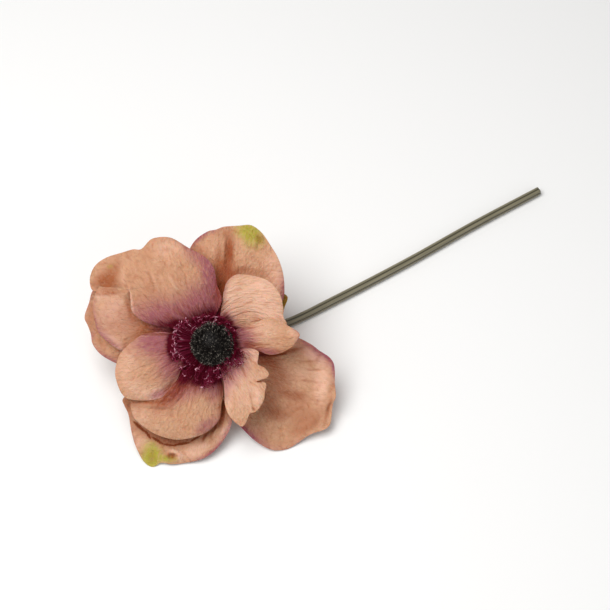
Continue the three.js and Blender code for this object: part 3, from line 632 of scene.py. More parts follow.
# The stamens: the ring that they stand in as radii and heights, and how they rise from it
STAMEN_RING = [(5, 2.3), (8.2, 2.3), (8.2, 3.4), (5, 3.5)]
STAMEN_ROOT_RADIUS = 7.2
STAMEN_ROOTS = (-0.6, 1.2)  # from that radius
STAMEN_FOOT = 3.0
STAMEN_TOPS = (4.8, 7.4)
STAMEN_ARCH = 0.55  # 0.5 would end at the top, and above it the tips come down again
STAMEN_CLUMP = 0.03  # some are moved round the ring by this angle, so that they stand in clumps
STAMEN_LONGEST = 1.05  # as a share of the reach in its direction
STAMEN_SHORTENING = 0.4  # and up to this much less
SHORTENING_POWER = 1.6  # the higher this is, the fewer are short
STAMEN_BENDS = (1.0, 1.3)  # past 1 the tips turn back towards the disc
BEND_POWER = 0.9
STAMEN_STEPS = 18
STAMEN_SIDES = 5
STAMEN_GIRTHS = (0.7, 1.3)
TIP_SWELL = (1.4, 2.0, 1.1)
STAMEN_SEED = 22
# how they curl and sweep aside
CURL_START = (0.35, 0.9)
CURL_TURNS = (1.0, 3.2)
CURLS = (0.15, 0.85)
CURL_TANGLE = 0.6  # the lower ones curl this much more
CURL_OUT = 0.6  # a curl outwards, as a share of the one aside
CURL_UP = 0.5
STAMEN_LEAN = 0.05  # they also lean aside by about this angle
STAMEN_SWEEP = 2.2
LOWER_SWEEP = 0.35
UPPER_SIDE = -0.2  # above this sine of its direction, a stamen counts as an upper one
# where painted highlights make them bright: in dashes along them, and less on the plain side
BRIGHT_POWER = 1.4
DASHES = (0.8, 2.6)
DASH_EDGE = (0.3, 0.9)
DASH_START = (0.15, 0.45)
STAMEN_GLOW = (0.02, 0.36)
DASH_GLOW = 0.8
TUFT_SIDE = 172  # at this angle, in degrees, the tips end in one line and are pale
TUFT_HALF_ANGLE = math.radians(32)
TUFT_REACH = (0.95, 1.02)
TUFT_GLOW = 0.3
TUFT_TIPS = (0.8, 1.0)
PLAIN_SIDE = 5  # round this angle, in degrees, all of them stay dark
PLAIN_COSINE = 0.86
PLAIN_DIMMING = 0.75
THREAD_STOP = 0.4  # at this tone a stamen has the thread colour
# how far they reach from the axis, by the direction in degrees
STAMEN_REACH = {
    0: 8.8, 20: 9, 35: 10.6, 60: 10.8, 90: 10.8, 125: 12.2, 142: 14, 157: 16.4, 168: 15.6, 180: 15.3,
    197: 16.6, 204: 13, 212: 15.4, 228: 16.4, 246: 16.6, 264: 17.2, 275: 15.4, 290: 12.6, 308: 11.2,
    325: 13.4, 338: 14.6, 348: 11,
}

# The stage, in metres
FLOOR_HALF_SIDE = 3.0
FLOOR_DEPTH = 0.0002
LIGHT_SIZE = 0.5
CLIP_START = 0.01
CLIP_END = 10
# and in millimetres, with its directions and places in the bloom's frame
LIGHT_DISTANCE = 700
MAIN_LIGHT = ((-0.28, 0.4, 0.87), (1.0, 0.99, 0.97))  # its direction and its colour
SECOND_LIGHT = ((0.5, -0.3, 0.8), (0.98, 0.99, 1.0))
CAMERA_PLACE = (36.96, 15.48, 3)  # the camera's distance counts from here
SENSOR_WIDTH = 36


def color_setting(name, description, default):
    """A colour of a settings group."""
    return FloatVectorProperty(name=name, description=description, subtype="COLOR", default=default)


def length_setting(name, description, default):
    """A length of a settings group, in metres."""
    return FloatProperty(name=name, description=description, unit="LENGTH", precision=5, default=default)


class FlowerSettings(bpy.types.PropertyGroup):
    """The petals' thickness, wrinkles and colours, with the tints of their painted shade and shadow."""

    thickness: length_setting("Petal thickness", "Thickness of a petal", 0.00042)
    wrinkle: length_setting("Wrinkle height", "Height of the wrinkles", 0.00014)
    gather: length_setting("Gather height", "Height of the folds at the roots", 0.00012)
    petal_color: color_setting("Petals", "Colour of the petals", (0.66, 0.385, 0.245))
    # partly a paler colour of the cloth and partly painted highlight on lit ridges, rims and curls
    pale_color: color_setting("Pale places", "Colour of the palest places", (0.82, 0.52, 0.38))
    mauve_color: color_setting("Mauve", "Colour near the roots", (0.4, 0.138, 0.16))
    heart_color: color_setting("Heart", "Colour at the roots", (0.105, 0.002, 0.011))
    rim_color: color_setting("Rims", "Colour of the purple edges", (0.34, 0.1, 0.13))
    green_color: color_setting("Green tips", "Colour of the green tips", (0.46, 0.41, 0.07))
    # painted shade: in hollows, beside the edges of petals above and over whole petals, the colour is
    # multiplied by this
    shade_tint: color_setting("Hollows", "Tint of the brown hollows", (0.6, 0.34, 0.22))
    # painted shade: what the pleats' hollows at the root are multiplied by
    pleat_shade_tint: color_setting(
        "Pleat tint", "What the pleats at the root are multiplied by", (0.86, 0.64, 0.7)
    )
    # painted shade in the narrow creases of the wrinkles
    crease_shade_tint: color_setting("Creases", "Tint of the narrow creases", (0.78, 0.6, 0.52))
    # painted shadow: the warm red-brown that the shadows between petals are painted in
    red_shadow_color: color_setting("Rust", "Colour of the red-brown shadows", (0.33, 0.092, 0.04))
    # painted shade: the dark colour painted deep in the gaps and slits between petals
    deep_color: color_setting("Depths", "Colour deep between petals", (0.23, 0.055, 0.018))


class HeartSettings(bpy.types.PropertyGroup):
    """The bristles of the disc, and the stamens."""

    bristles: IntProperty(name="Bristles", description="Bristles on the disc", default=2200, min=100)
    bristle_length: length_setting("Bristle length", "Length of a bristle", 0.0015)
    stamens: IntProperty(name="Stamens", description="Stamens round the disc", default=360, min=20)
    filament_radius: length_setting("Filament radius", "Radius of a filament", 0.000095)
    disc_color: color_setting("Disc", "Colour of the disc", (0.005, 0.0025, 0.002))
    # painted glints: the bristles' tips are lightened towards this by their tone
    bristle_glint_color: color_setting("Bristle tips", "Colour of the palest tips", (0.9, 0.82, 0.7))
    # the tone runs from this through the thread colour to the tips' colour; the brighter tones are painted
    # highlights in dashes, and partly the tips' own pink
    stamen_color: color_setting("Stamens", "Colour of the stamens", (0.08, 0.0008, 0.008))
    thread_color: color_setting(
        "Thread colour", "Colour of the brighter stamens below their tips", (0.3, 0.028, 0.075)
    )
    anther_color: color_setting("Stamen tips", "Colour of the palest tips", (0.85, 0.45, 0.55))


class StemSettings(bpy.types.PropertyGroup):
    """The stem's colours."""

    light_color: color_setting("Ribs", "Colour on the ribs", (0.24, 0.215, 0.14))
    # painted shade: the grooves are darkened towards this colour
    groove_shade_color: color_setting("Grooves", "Colour in the grooves", (0.03, 0.026, 0.012))
    streak_color: color_setting("Streaks", "Colour of the faint streaks", (0.07, 0.065, 0.035))


class StageSettings(bpy.types.PropertyGroup):
    """The floor, the lights and the camera."""

    floor_color: color_setting("Floor", "Colour of the floor", (0.95, 0.95, 0.95))
    key_power: FloatProperty(
        name="Main light", description="Power of the main light in watts", default=4.6, subtype="POWER"
    )
    fill_power: FloatProperty(
        name="Second light", description="Power of the second light in watts", default=0.5, subtype="POWER"
    )
    air: FloatProperty(name="Surroundings", description="Strength of the pale surroundings", default=0.34)
    distance: FloatProperty(
        name="Camera distance", description="From the bloom to the camera", default=0.7, subtype="DISTANCE"
    )
    lens: FloatProperty(name="Lens", description="Focal length in millimetres", default=103.28)


def node_points(name):
    """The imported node's vertices as an array, in millimetres."""
    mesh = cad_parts[name].data
    values = np.empty(len(mesh.vertices) * 3)
    mesh.vertices.foreach_get("co", values)
    return values.reshape(-1, 3) / MM


def bloom_origin():
    """The middle of the disc's seat: the middle of the disc node across its axis, and below its foot."""
    points = node_points("disc")
    across = [(points @ axis).min() / 2 + (points @ axis).max() / 2 for axis in (RIGHT, UPWARD)]
    foot = (points @ FACING).min() - DISC_FOOT
    return across[0] * RIGHT + across[1] * UPWARD + foot * FACING


ORIGIN = bloom_origin()
GROUND = ORIGIN * (1, 1, 0)  # the point of the floor under the bloom's middle


def from_bloom(points):
    """Points of the bloom's frame as points of the part, in millimetres: each times its axis, added up."""
    return ORIGIN + np.asarray(points) @ np.array([RIGHT, UPWARD, FACING])


def soft_noise(across, along, size, seed):
    """Smooth random hills between -1 and 1, of the given size across and along the veins.

    Seeded values stand at the corners of cells of that size, and are blended between them by 3t²-2t³.
    """
    values = np.random.default_rng(seed).uniform(-1, 1, (NOISE_CELLS, NOISE_CELLS))
    u = across / size[0]
    v = along / size[1]
    column = np.floor(u).astype(int)
    row = np.floor(v).astype(int)
    a = u - column
    b = v - row
    a = a * a * (3 - 2 * a)
    b = b * b * (3 - 2 * b)

    def at(i, j):
        """The seeded value at a cell's corner that lies i cells across and j cells along."""
        return values[(column + i) % NOISE_CELLS, (row + j) % NOISE_CELLS]

    low = at(0, 0) * (1 - a) + at(1, 0) * a
    high = at(0, 1) * (1 - a) + at(1, 1) * a
    return low * (1 - b) + high * b


def smooth_step(value, low, high):
    """0 below low, 1 above high, and 3t²-2t³ between."""
    t = np.clip((value - low) / (high - low), 0, 1)
    return t * t * (3 - 2 * t)


def curve_pieces(p0, p1, p2, p3):
    """Centripetal Catmull-Rom pieces: from each p1 to its p2, a cubic whose slopes the other two steer."""
    d0, d1, d2 = (np.linalg.norm(b - a, axis=1)[:, None] ** 0.5 for a, b in ((p0, p1), (p1, p2), (p2, p3)))
    start = ((p1 - p0) / d0 - (p2 - p0) / (d0 + d1) + (p2 - p1) / d1) * d1
    end = ((p2 - p1) / d1 - (p3 - p1) / (d1 + d2) + (p3 - p2) / d2) * d1
    t = np.linspace(0, 1, CURVE_SAMPLES, endpoint=False)[None, :, None]
    a, b, c, d = (value[:, None, :] for value in (p1, start, p2, end))
    dense = a + b * t + (3 * c - 3 * a - 2 * b - d) * t**2 + (2 * a - 2 * c + b + d) * t**3
    return dense.reshape(-1, p1.shape[1])


def length_at(line):
    """The length of a line up to each of its points."""
    return np.concatenate([[0], np.cumsum(np.linalg.norm(np.diff(line, axis=0), axis=1))])


def points_at(line, places):
    """Points at the given lengths along a line, straight between the line's own points."""
    return np.stack([np.interp(places, length_at(line), values) for values in line.T], axis=1)


def closed_curve(points, count):
    """Points at equal steps along a smooth closed curve through the given ones."""
    dense = curve_pieces(*(np.roll(points, shift, axis=0) for shift in (1, 0, -1, -2)))
    looped = np.vstack([dense, dense[:1]])
    return points_at(looped, np.linspace(0, length_at(looped)[-1], count, endpoint=False))


def open_curve(points, shares):
    """Points at given shares of a smooth open curve's length; its ends count as carried straight on."""
    padded = np.vstack([2 * points[0] - points[1], points, 2 * points[-1] - points[-2]])
    dense = curve_pieces(padded[:-3], padded[1:-2], padded[2:-1], padded[3:])
    line = np.vstack([dense, points[-1:]])
    return points_at(line, shares * length_at(line)[-1])


def petal_edge(petal, count):
    """The petal's closed edge: its edge points and its root's two corners, in order round its middle."""
    turn = math.radians(petal["direction"])
    root = [
        (CLAW_RADIUS * math.cos(turn + side), CLAW_RADIUS * math.sin(turn + side))
        for side in (-CLAW_HALF_ANGLE, CLAW_HALF_ANGLE)
    ]
    points = np.array(petal["edge"] + root, float)
    offset = points - petal["middle"]
    order = np.argsort(np.arctan2(offset[:, 1], offset[:, 0]))
    return closed_curve(points[order], count)


def reach_table(petal):
    """The distance from the petal's middle to its edge at many directions, sorted by direction."""
    offset = petal_edge(petal, OUTLINE_POINTS) - petal["middle"]
    angle = np.arctan2(offset[:, 1], offset[:, 0])
    order = np.argsort(angle)
    return angle[order], np.linalg.norm(offset, axis=1)[order]


def rim_map(petal):
    """The distance to the petal's edge on a square grid, and the grid's first corner.

    The edge counts as short straight pieces, and the distance to a piece is the distance to the point
    of it that the foot of the perpendicular, kept between its ends, gives.
    """
    start = petal_edge(petal, RIM_PIECES)
    end = np.roll(start, -1, axis=0)
    low = start.min(axis=0) - RIM_MARGIN
    count = np.ceil((start.max(axis=0) + RIM_MARGIN - low) / RIM_CELL).astype(int) + 1
    x, y = np.meshgrid(*(low[k] + RIM_CELL * np.arange(count[k]) for k in range(2)), indexing="ij")
    nearest = np.full(x.shape, np.inf)
    for (ax, ay), (bx, by) in zip(start, end):
        share = ((x - ax) * (bx - ax) + (y - ay) * (by - ay)) / ((bx - ax) ** 2 + (by - ay) ** 2)
        share = np.clip(share, 0, 1)
        nearest = np.minimum(nearest, np.hypot(x - ax - share * (bx - ax), y - ay - share * (by - ay)))
    return low, nearest


def rim_distance(petal, x, y):
    """How far from the petal's edge each point lies, blended between the four nearest of rim_map."""
    low, nearest = petal["rim_map"]
    columns, rows = np.array(nearest.shape) - JUST_INSIDE
    u = np.clip((x - low[0]) / RIM_CELL, 0, columns)
    v = np.clip((y - low[1]) / RIM_CELL, 0, rows)
    i = u.astype(int)
    j = v.astype(int)
    a = u - i
    b = v - j
    near = nearest[i, j] * (1 - a) + nearest[i + 1, j] * a
    far = nearest[i, j + 1] * (1 - a) + nearest[i + 1, j + 1] * a
    return near * (1 - b) + far * b


def spine_height(heights, s):
    """The parabola through three heights at the distances of SPINE."""
    slope = (heights[1] - heights[0]) / (SPINE[1] - SPINE[0])
    bend = ((heights[2] - heights[1]) / (SPINE[2] - SPINE[1]) - slope) / (SPINE[2] - SPINE[0])
    return heights[0] + slope * (s - SPINE[0]) + bend * (s - SPINE[0]) * (s - SPINE[1])


def hill(x, y, place, length, width, degrees):
    """A smooth hill of height 1 at place: exp of minus the squared distances along and across it."""
    c = math.cos(math.radians(degrees))
    s = math.sin(math.radians(degrees))
    along = ((x - place[0]) * c + (y - place[1]) * s) / length
    across = ((y - place[1]) * c - (x - place[0]) * s) / width
    return np.exp(-(along**2) - across**2)


def own_height(petal, x, y):
    """A petal's height before the layers beneath lift it, and how far past its edge each point lies.

    The height is a parabola along the petal, plus cup times the squared distance from its spine, plus
    its forms. Roll and the waves grow with the fourth and the third power of the way to the rim.
    """
    dx = x - petal["middle"][0]
    dy = y - petal["middle"][1]
    angle = np.arctan2(dy, dx)
    reach = np.interp(angle, *petal["reach"], period=2 * math.pi)
    distance = np.hypot(dx, dy)
    inside = rim_distance(petal, x, y) * (distance < reach)
    share = distance / np.maximum(distance + inside, 1e-6)
    turn = math.radians(petal["direction"])
    along = x * math.cos(turn) + y * math.sin(turn)
    across = y * math.cos(turn) - x * math.sin(turn)
    wave_height, wave_count, wave_phase = petal["wave"]
    height = spine_height(petal["spine"], along) + petal["cup"] * across**2
    height = height + petal["roll"] * share**4
    height = height + wave_height * share**3 * np.sin(wave_count * angle + wave_phase)
    for fx, fy, length, width, degrees, rise in petal["forms"]:
        height = height + rise * hill(x, y, (fx, fy), length, width, degrees)
    return height, np.maximum(distance - reach, 0)


def layered_height(name, x, y):
    """The petal's middle surface: its own height, lifted softly to LAYER above each petal beneath it.

    The second result is how far a petal lies under it at each point, counted as FAR where none does.
    """
    below = []
    for other, petal in PETALS.items():
        height, past = own_height(petal, x, y)
        for lower, lower_past in below:
            least = lower + LAYER - OVERHANG_FALL * np.maximum(lower_past - OVERHANG, 0) ** 2
            gap = height - least
            height = (height + least + np.sqrt(gap * gap + LAYER_BLEND**2)) / 2
        if other == name:
            break
        below.append((height, past))
    clear = np.full_like(x, FAR)
    for lower, lower_past in below:
        clear = np.minimum(clear, height - lower + FAR * smooth_step(lower_past, 0, OVERHANG))
    return height, clear


def vein_coordinates(petal, x, y):
    """Across and along the veins, in millimetres: the angle and the radius round the veins' focus.

    The focus lies behind the bloom's axis on the veins' middle line. The angle counts as a length at
    VEIN_RADIUS from the axis, and the radius counts from the axis. Where the veins bend, the angle
    turns evenly with the radius.
    """
    lean, behind, bend = petal.get("veins", (petal["direction"], VEIN_FOCUS, 0))
    turn = math.radians(lean)
    fx = x + behind * math.cos(turn)
    fy = y + behind * math.sin(turn)
    angle = np.arctan2(fy, fx) - turn
    angle = (angle + math.pi) % (2 * math.pi) - math.pi
    along = np.hypot(fx, fy) - behind
    return (VEIN_RADIUS + behind) * (angle + bend * (along - VEIN_BEND_START)), along


def wrinkles(petal, x, y, settings):
    """The crinkled skin's height: gathers that fan out from the root, and shorter wrinkles all over."""
    seed = petal["seed"]
    around, along = vein_coordinates(petal, x, y)
    radius = np.hypot(x, y)
    drift = DRIFT * soft_noise(around, along, DRIFT_SIZE, seed)
    gathers = soft_noise(around + drift, along, GATHER_SIZE, seed + 1)
    gather = petal.get("gather", 1) * settings.gather / MM
    height = gather * gathers * smooth_step(radius, *GATHER_START) * (1 - smooth_step(radius, *GATHER_END))
    fine = soft_noise(around + 2 * drift, along, FINE_SIZE, seed + 4)
    rough = settings.wrinkle / MM
    return height + FINE_SHARE * rough * fine * smooth_step(radius, *WRINKLE_START)


def fine_height(petal, x, y, settings):
    """The small forms on a petal: narrow folds, dimples, soft swellings and the wrinkles."""
    seed = petal["seed"]
    around, along = vein_coordinates(petal, x, y)
    height = wrinkles(petal, x, y, settings)
    for fx, fy, length, width, degrees, rise in petal["folds"]:
        height += rise * hill(x, y, (fx, fy), length, width, degrees)
    for sx, sy, length, width, rise, sharp in petal.get("swirls", []):
        oval = np.hypot((x - sx) / length, (y - sy) / width)
        ridge = np.exp(-(((oval - 1) / sharp) ** 2))
        height += rise * (ridge - DIMPLE_DEPTH * np.exp(-((oval / DIMPLE_SIZE) ** 2)))
    broad = soft_noise(around, along, BROAD_SIZE, seed + 2)
    middling = soft_noise(around + along / MIDDLING_SLANT, along, MIDDLING_SIZE, seed + 3)
    rough = settings.wrinkle / MM * smooth_step(np.hypot(x, y), *WRINKLE_START)
    return height + rough * (BROAD_SHARE * broad + MIDDLING_SHARE * middling)


def surface_height(name, x, y, settings):
    """The height of the petal's middle surface, with its small forms.

    Where a petal lies close beneath, the rim comes down to rest on it.
    """
    petal = PETALS[name]
    height, clear = layered_height(name, x, y)
    close = np.exp(-(((clear - LAYER) / PRESS_REACH) ** 2)) * (clear < FAR / 2)
    lip = np.exp(-((rim_distance(petal, x, y) / PRESS_WIDTH) ** 2))
    lip = lip * smooth_step(np.hypot(x, y), *WRINKLE_START)
    height = height - (LAYER - REST_GAP) * close * lip * PRESS_SHARE
    return height + fine_height(petal, x, y, settings)


def petal_paint(name, x, y, edge_distance):
    """How much of each colour lies at each point, from 0 to 1.

    The heart and the mauve fade at their radii, a rim fades from the edge as the exp of minus the squared
    distance, and a spot is a hill. A petal above lays painted shadow beside its edge in the same way.
    """
    petal = PETALS[name]
    around, along = vein_coordinates(petal, x, y)
    radius = np.hypot(x, y)
    ragged = soft_noise(around, along, RAGGED_SIZE, petal["seed"] + 5)
    frayed = radius - RAGGED_BLUSH * ragged
    heart, heart_fade, mauve, mauve_fade = petal["blush"]
    paint = {color: np.zeros_like(x) for color in ("rim", "green", "pale", "red_shadow", "deep")}
    paint["mauve"] = 1 - smooth_step(frayed, mauve - mauve_fade, mauve + mauve_fade)
    paint["heart"] = 1 - smooth_step(frayed, heart - heart_fade, heart + heart_fade)
    # Painted shade: the petal's even share, then its spots, then the painted shadow of the petals above
    paint["shade"] = np.full_like(x, petal.get("tone", 0))
    paint["root"] = petal.get("pleats", PLAIN_PLEATS) * (1 - smooth_step(radius, *PLEAT_END))
    for rx, ry, spread, width, strength in petal["rims"]:
        near = np.exp(-((x - rx) ** 2 + (y - ry) ** 2) / spread**2)
        paint["rim"] += strength * near * np.exp(-((edge_distance / width) ** 2))
    for color, sx, sy, length, width, degrees, strength in petal["spots"]:
        shape = hill(x, y, (sx, sy), length, width, degrees) + RAGGED_SPOT * ragged
        amount = strength * smooth_step(shape, *SPOT_FADE.get(color, PLAIN_FADE))
        paint[color] = 1 - (1 - paint[color]) * (1 - amount)
    # Painted shadow: each petal above, moved to the right and down, darkens this one beside that petal's
    # edge
    strength = SHADE_STRENGTH * petal.get("shaded", 1)
    open_sky = np.ones_like(x)
    names = list(PETALS)
    for upper in names[names.index(name) + 1 :]:
        above = PETALS[upper]
        ux = x - SHADE_SHIFT * RIGHT_SHARE - above["middle"][0]
        uy = y + SHADE_SHIFT * DOWN_SHARE - above["middle"][1]
        reach = np.interp(np.arctan2(uy, ux), *above["reach"], period=2 * math.pi)
        past = np.maximum(np.hypot(ux, uy) - reach, 0)
        open_sky *= 1 - strength * np.exp(-((past / SHADE_WIDTH) ** 2))
    paint["shade"] = 1 - (1 - paint["shade"]) * open_sky
    return {color: np.clip(amount, 0, 1) for color, amount in paint.items()}


def ring_quads(rings, sides):
    """The faces between closed rings of points, which lie ring after ring: four corners of each."""
    ring, k = np.meshgrid(np.arange(rings - 1), np.arange(sides), indexing="ij")
    here = ring * sides
    there = here + sides
    after = (k + 1) % sides
    return np.stack([here + k, there + k, there + after, here + after], axis=-1).reshape(-1, 4)


def capped_faces(rings, sides):
    """A closed tube's faces: its quads, and a fan at each end round the two points that follow its rings."""
    k = np.arange(sides)
    after = (k + 1) % sides
    total = rings * sides
    first = np.stack([np.full(sides, total), k, after], axis=1)
    last = np.stack([np.full(sides, total + 1), total - sides + after, total - sides + k], axis=1)
    return [ring_quads(rings, sides), first, last]


def turned_over(faces):
    """The same faces seen from their other side, from the same first corner."""
    return [np.roll(corners[:, ::-1], 1, axis=1) for corners in faces]


def petal_mesh(name, settings):
    """Points, faces, vein coordinates and paint of a petal.

    Rings from its middle to its edge, the last ones close together, carry the two faces. They lie half
    the thickness from the middle surface along its normal, and that half falls to nothing at the edge as
    a quarter circle does.
    """
    petal = PETALS[name]
    middle = np.array(petal["middle"], float)
    outline = petal_edge(petal, OUTLINE_POINTS)
    length = np.linalg.norm(outline - np.roll(outline, 1, axis=0), axis=1).sum()
    spokes = int(length / SPOKE_SPACING)
    offset = petal_edge(petal, spokes) - middle
    reach = np.linalg.norm(offset, axis=1)
    half = settings.thickness / MM / 2
    steps = int(reach.mean() / RING_SPACING)
    inner = np.linspace(0, 1, steps + 1)[1:, None] * (1 - LIP_START * half / reach)
    lip = 1 - np.outer(half * np.array(LIP_STEPS), 1 / reach)
    share = np.vstack([inner, lip, np.ones((1, spokes))])
    rings = len(share)
    flat = (middle + share[:, :, None] * offset).reshape(-1, 2)
    x, y = np.vstack([middle, flat]).T.copy()
    height = surface_height(name, x, y, settings)
    slope_x = surface_height(name, x + SLOPE_STEP, y, settings) - height
    slope_y = surface_height(name, x, y + SLOPE_STEP, settings) - height
    normal = np.stack([-slope_x, -slope_y, np.full_like(x, SLOPE_STEP)], axis=1)
    normal /= np.linalg.norm(normal, axis=1)[:, None]
    along_spoke = np.concatenate([[reach.min()], ((1 - share) * reach).ravel()])
    inset = 1 - np.clip(along_spoke / half, 0, 1)
    lift = half * np.sqrt(1 - inset**2)[:, None] * normal
    surface = np.stack([x, y, height], axis=1)
    count = len(surface)
    last = count - spokes  # the edge ring is shared by both faces
    points = np.vstack([surface + lift, (surface - lift)[:last]])
    upper = 1 + ring_quads(rings, spokes)
    lower = upper[:, ::-1].copy()
    lower[lower < last] += count
    k = np.arange(spokes)
    fan = np.stack([np.zeros(spokes, int), 1 + k, 1 + (k + 1) % spokes], axis=1)
    faces = [upper, lower, fan, fan[:, ::-1] + count]
    veins = np.stack(vein_coordinates(petal, x, y), axis=1) / VEIN_UNIT
    paint = petal_paint(name, x, y, rim_distance(petal, x, y))
    # Painted shade in the wrinkles' creases: darker where they are lower
    crinkle = wrinkles(petal, x, y, settings) / (settings.wrinkle / MM)
    paint["crease_shade"] = 1 - smooth_step(crinkle, *CREASE_SHADE_END)
    paint = {key: np.concatenate([value, value[:last]]) for key, value in paint.items()}
    return points, faces, np.vstack([veins, veins[:last]]), paint


def new_piece(name, points, faces, material, replaces, veins=None, paint=None):
    """A mesh object at the origin, smooth, with its uv map and attributes, riding on the part."""
    mesh = bpy.data.meshes.new(name)
    mesh.from_pydata((points * MM).tolist(), [], [face for corners in faces for face in corners.tolist()])
    mesh.polygons.foreach_set("use_smooth", np.ones(len(mesh.polygons), bool))
    if veins is not None:
        corners = np.empty(len(mesh.loops), int)
        mesh.loops.foreach_get("vertex_index", corners)
        layer = mesh.uv_layers.new(name="veins")
        layer.data.foreach_set("uv", veins[corners].ravel())
    for key, values in (paint or {}).items():
        attribute = mesh.attributes.new(key, "FLOAT", "POINT")
        attribute.data.foreach_set("value", values.astype(np.float32))
    mesh.materials.append(material)
    mesh.update()
    piece = bpy.data.objects.new(name, mesh)
    bpy.context.scene.collection.objects.link(piece)
    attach(piece, "root")
    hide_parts(replaces)


def new_material(name, finish):
    """A node material whose shader has the values of a finish, and that shader."""
    material = bpy.data.materials.new(name)
    material.use_nodes = True
    shader = material.node_tree.nodes["Principled BSDF"]
    for socket, value in finish.items():
        shader.inputs[socket].default_value = value
    return material, shader


def add_node(material, kind, **values):
    """A new node with its named inputs and properties set."""
    node = material.node_tree.nodes.new(kind)
    for key, value in values.items():
        if key in node.inputs:
            node.inputs[key].default_value = value
        else:
            setattr(node, key, value)
    return node


def mix_color(material, factor, low, high, blend="MIX"):
    """A colour mix: factor is a socket, and low and high are each a socket or a colour."""
    mix = add_node(material, "ShaderNodeMix", data_type="RGBA", blend_type=blend)
    link = material.node_tree.links.new
    link(factor, mix.inputs[0])
    for value, socket in ((low, mix.inputs[6]), (high, mix.inputs[7])):
        if isinstance(value, bpy.types.NodeSocket):
            link(value, socket)
        else:
            socket.default_value = (*value, 1)
    return mix.outputs[2]


def noise_on(material, vector, scale, detail, roughness, twist=0.0):
    """A noise texture's grey value, over the given coordinates."""
    noise = add_node(
        material, "ShaderNodeTexNoise", Scale=scale, Detail=detail, Roughness=roughness, Distortion=twist
    )
    material.node_tree.links.new(vector, noise.inputs["Vector"])
    return noise.outputs["Fac"]


def stretched_noise(material, vector, stretch, *pattern):
    """The same over coordinates that are first multiplied by stretch."""
    mapping = add_node(material, "ShaderNodeMapping", Scale=stretch)
    material.node_tree.links.new(vector, mapping.inputs["Vector"])
    return noise_on(material, mapping.outputs["Vector"], *pattern)


def map_range(material, value, low, high, at_low=0.0, at_high=1.0):
    """A value that goes straight from at_low, where the given one is low, to at_high, where it is high."""
    line = {"From Min": low, "From Max": high, "To Min": at_low, "To Max": at_high}
    ranged = add_node(material, "ShaderNodeMapRange", **line)
    material.node_tree.links.new(value, ranged.inputs["Value"])
    return ranged.outputs["Result"]


def attribute_of(material, name):
    """The value of the piece's attribute of that name."""
    return add_node(material, "ShaderNodeAttribute", attribute_name=name).outputs["Fac"]


def product(material, first, second, clamp=False):
    """Two values multiplied."""
    times = add_node(material, "ShaderNodeMath", operation="MULTIPLY", use_clamp=clamp)
    material.node_tree.links.new(first, times.inputs[0])
    material.node_tree.links.new(second, times.inputs[1])
    return times.outputs[0]


def relief(material, height, strength, depth, below=None):
    """The normal of a relief with the given height, strength and depth in metres, over the one below."""
    bump = add_node(material, "ShaderNodeBump", Strength=strength, Distance=depth)
    material.node_tree.links.new(height, bump.inputs["Height"])
    if below is not None:
        material.node_tree.links.new(below, bump.inputs["Normal"])
    return bump.outputs["Normal"]


def frayed_amount(material, attribute, noise, least):
    """An attribute's amount times least where the noise is 0, and FRAY_GAIN more where it is 1."""
    share = add_node(material, "ShaderNodeMath", operation="MULTIPLY_ADD")
    material.node_tree.links.new(noise, share.inputs[0])
    share.inputs[1].default_value = FRAY_GAIN
    share.inputs[2].default_value = least
    return product(material, attribute_of(material, attribute), share.outputs[0], clamp=True)


def petal_material(settings):
    """Peach cloth that turns mauve and then burgundy towards the root, with crepe and grain in relief,
    painted shade in its creases, pleats and hollows, and paler places that are partly painted highlights.
    """
    material, shader = new_material("petal_cloth", CLOTH_FINISH)
    link = material.node_tree.links.new
    veins = add_node(material, "ShaderNodeUVMap", uv_map="veins").outputs["UV"]
    place = add_node(material, "ShaderNodeTexCoord").outputs["Object"]
    crepe, streaks, pleats = (
        stretched_noise(material, veins, *pattern) for pattern in (CREPE, STREAKS, PLEATS)
    )
    root = attribute_of(material, "root")
    pale, warm, crepe_shade_color = (
        [min(1.0, value * share) for value, share in zip(settings.petal_color, tint)]
        for tint in (CLOUD_TINT, WARM_TINT, CREPE_SHADE_TINT)
    )
    clouds = map_range(material, noise_on(material, place, *CLOUDS), *CLOUD_RANGE)
    color = mix_color(material, clouds, warm, pale)
    # Painted shade in the crepe's creases, where its relief is low
    crepe_shade_amount = map_range(material, crepe, *CREPE_SHADE_RANGE, CREPE_SHADE_STRENGTH, 0.0)
    color = mix_color(material, crepe_shade_amount, color, crepe_shade_color)

    def painted(below, key, least):
        """The colour below, covered by the one named key as far as the attribute of that name says."""
        amount = frayed_amount(material, key, streaks, least)
        return mix_color(material, amount, below, getattr(settings, key + "_color"))

    # Paler places, partly painted highlights, then the mauve, the purple rims and the green tips
    for key in ("pale", "mauve", "rim", "green"):
        color = painted(color, key, LIGHT_FRAY)
    # Painted shade in the pleats' hollows, in the wrinkles' creases, in hollows and beside the edges of
    # petals above
    pleat_shade = product(material, map_range(material, pleats, *PLEAT_RANGE, 1.0, 0.0), root)
    for amount, tint in (
        (pleat_shade, settings.pleat_shade_tint),
        (attribute_of(material, "crease_shade"), settings.crease_shade_tint),
        (frayed_amount(material, "shade", crepe, LIGHT_FRAY), settings.shade_tint),
    ):
        color = mix_color(material, amount, color, tint, "MULTIPLY")
    # Painted red-brown shadow and painted deep shade between petals, then the burgundy heart
    for key in ("red_shadow", "deep", "heart"):
        color = painted(color, key, DARK_FRAY)
    link(color, shader.inputs["Base Color"])

    normal = relief(material, crepe, *CREPE_RELIEF)
    normal = relief(material, product(material, pleats, root), *PLEAT_RELIEF, normal)
    normal = relief(material, noise_on(material, place, *GRAIN), *GRAIN_RELIEF, normal)
    link(normal, shader.inputs["Normal"])
    return material


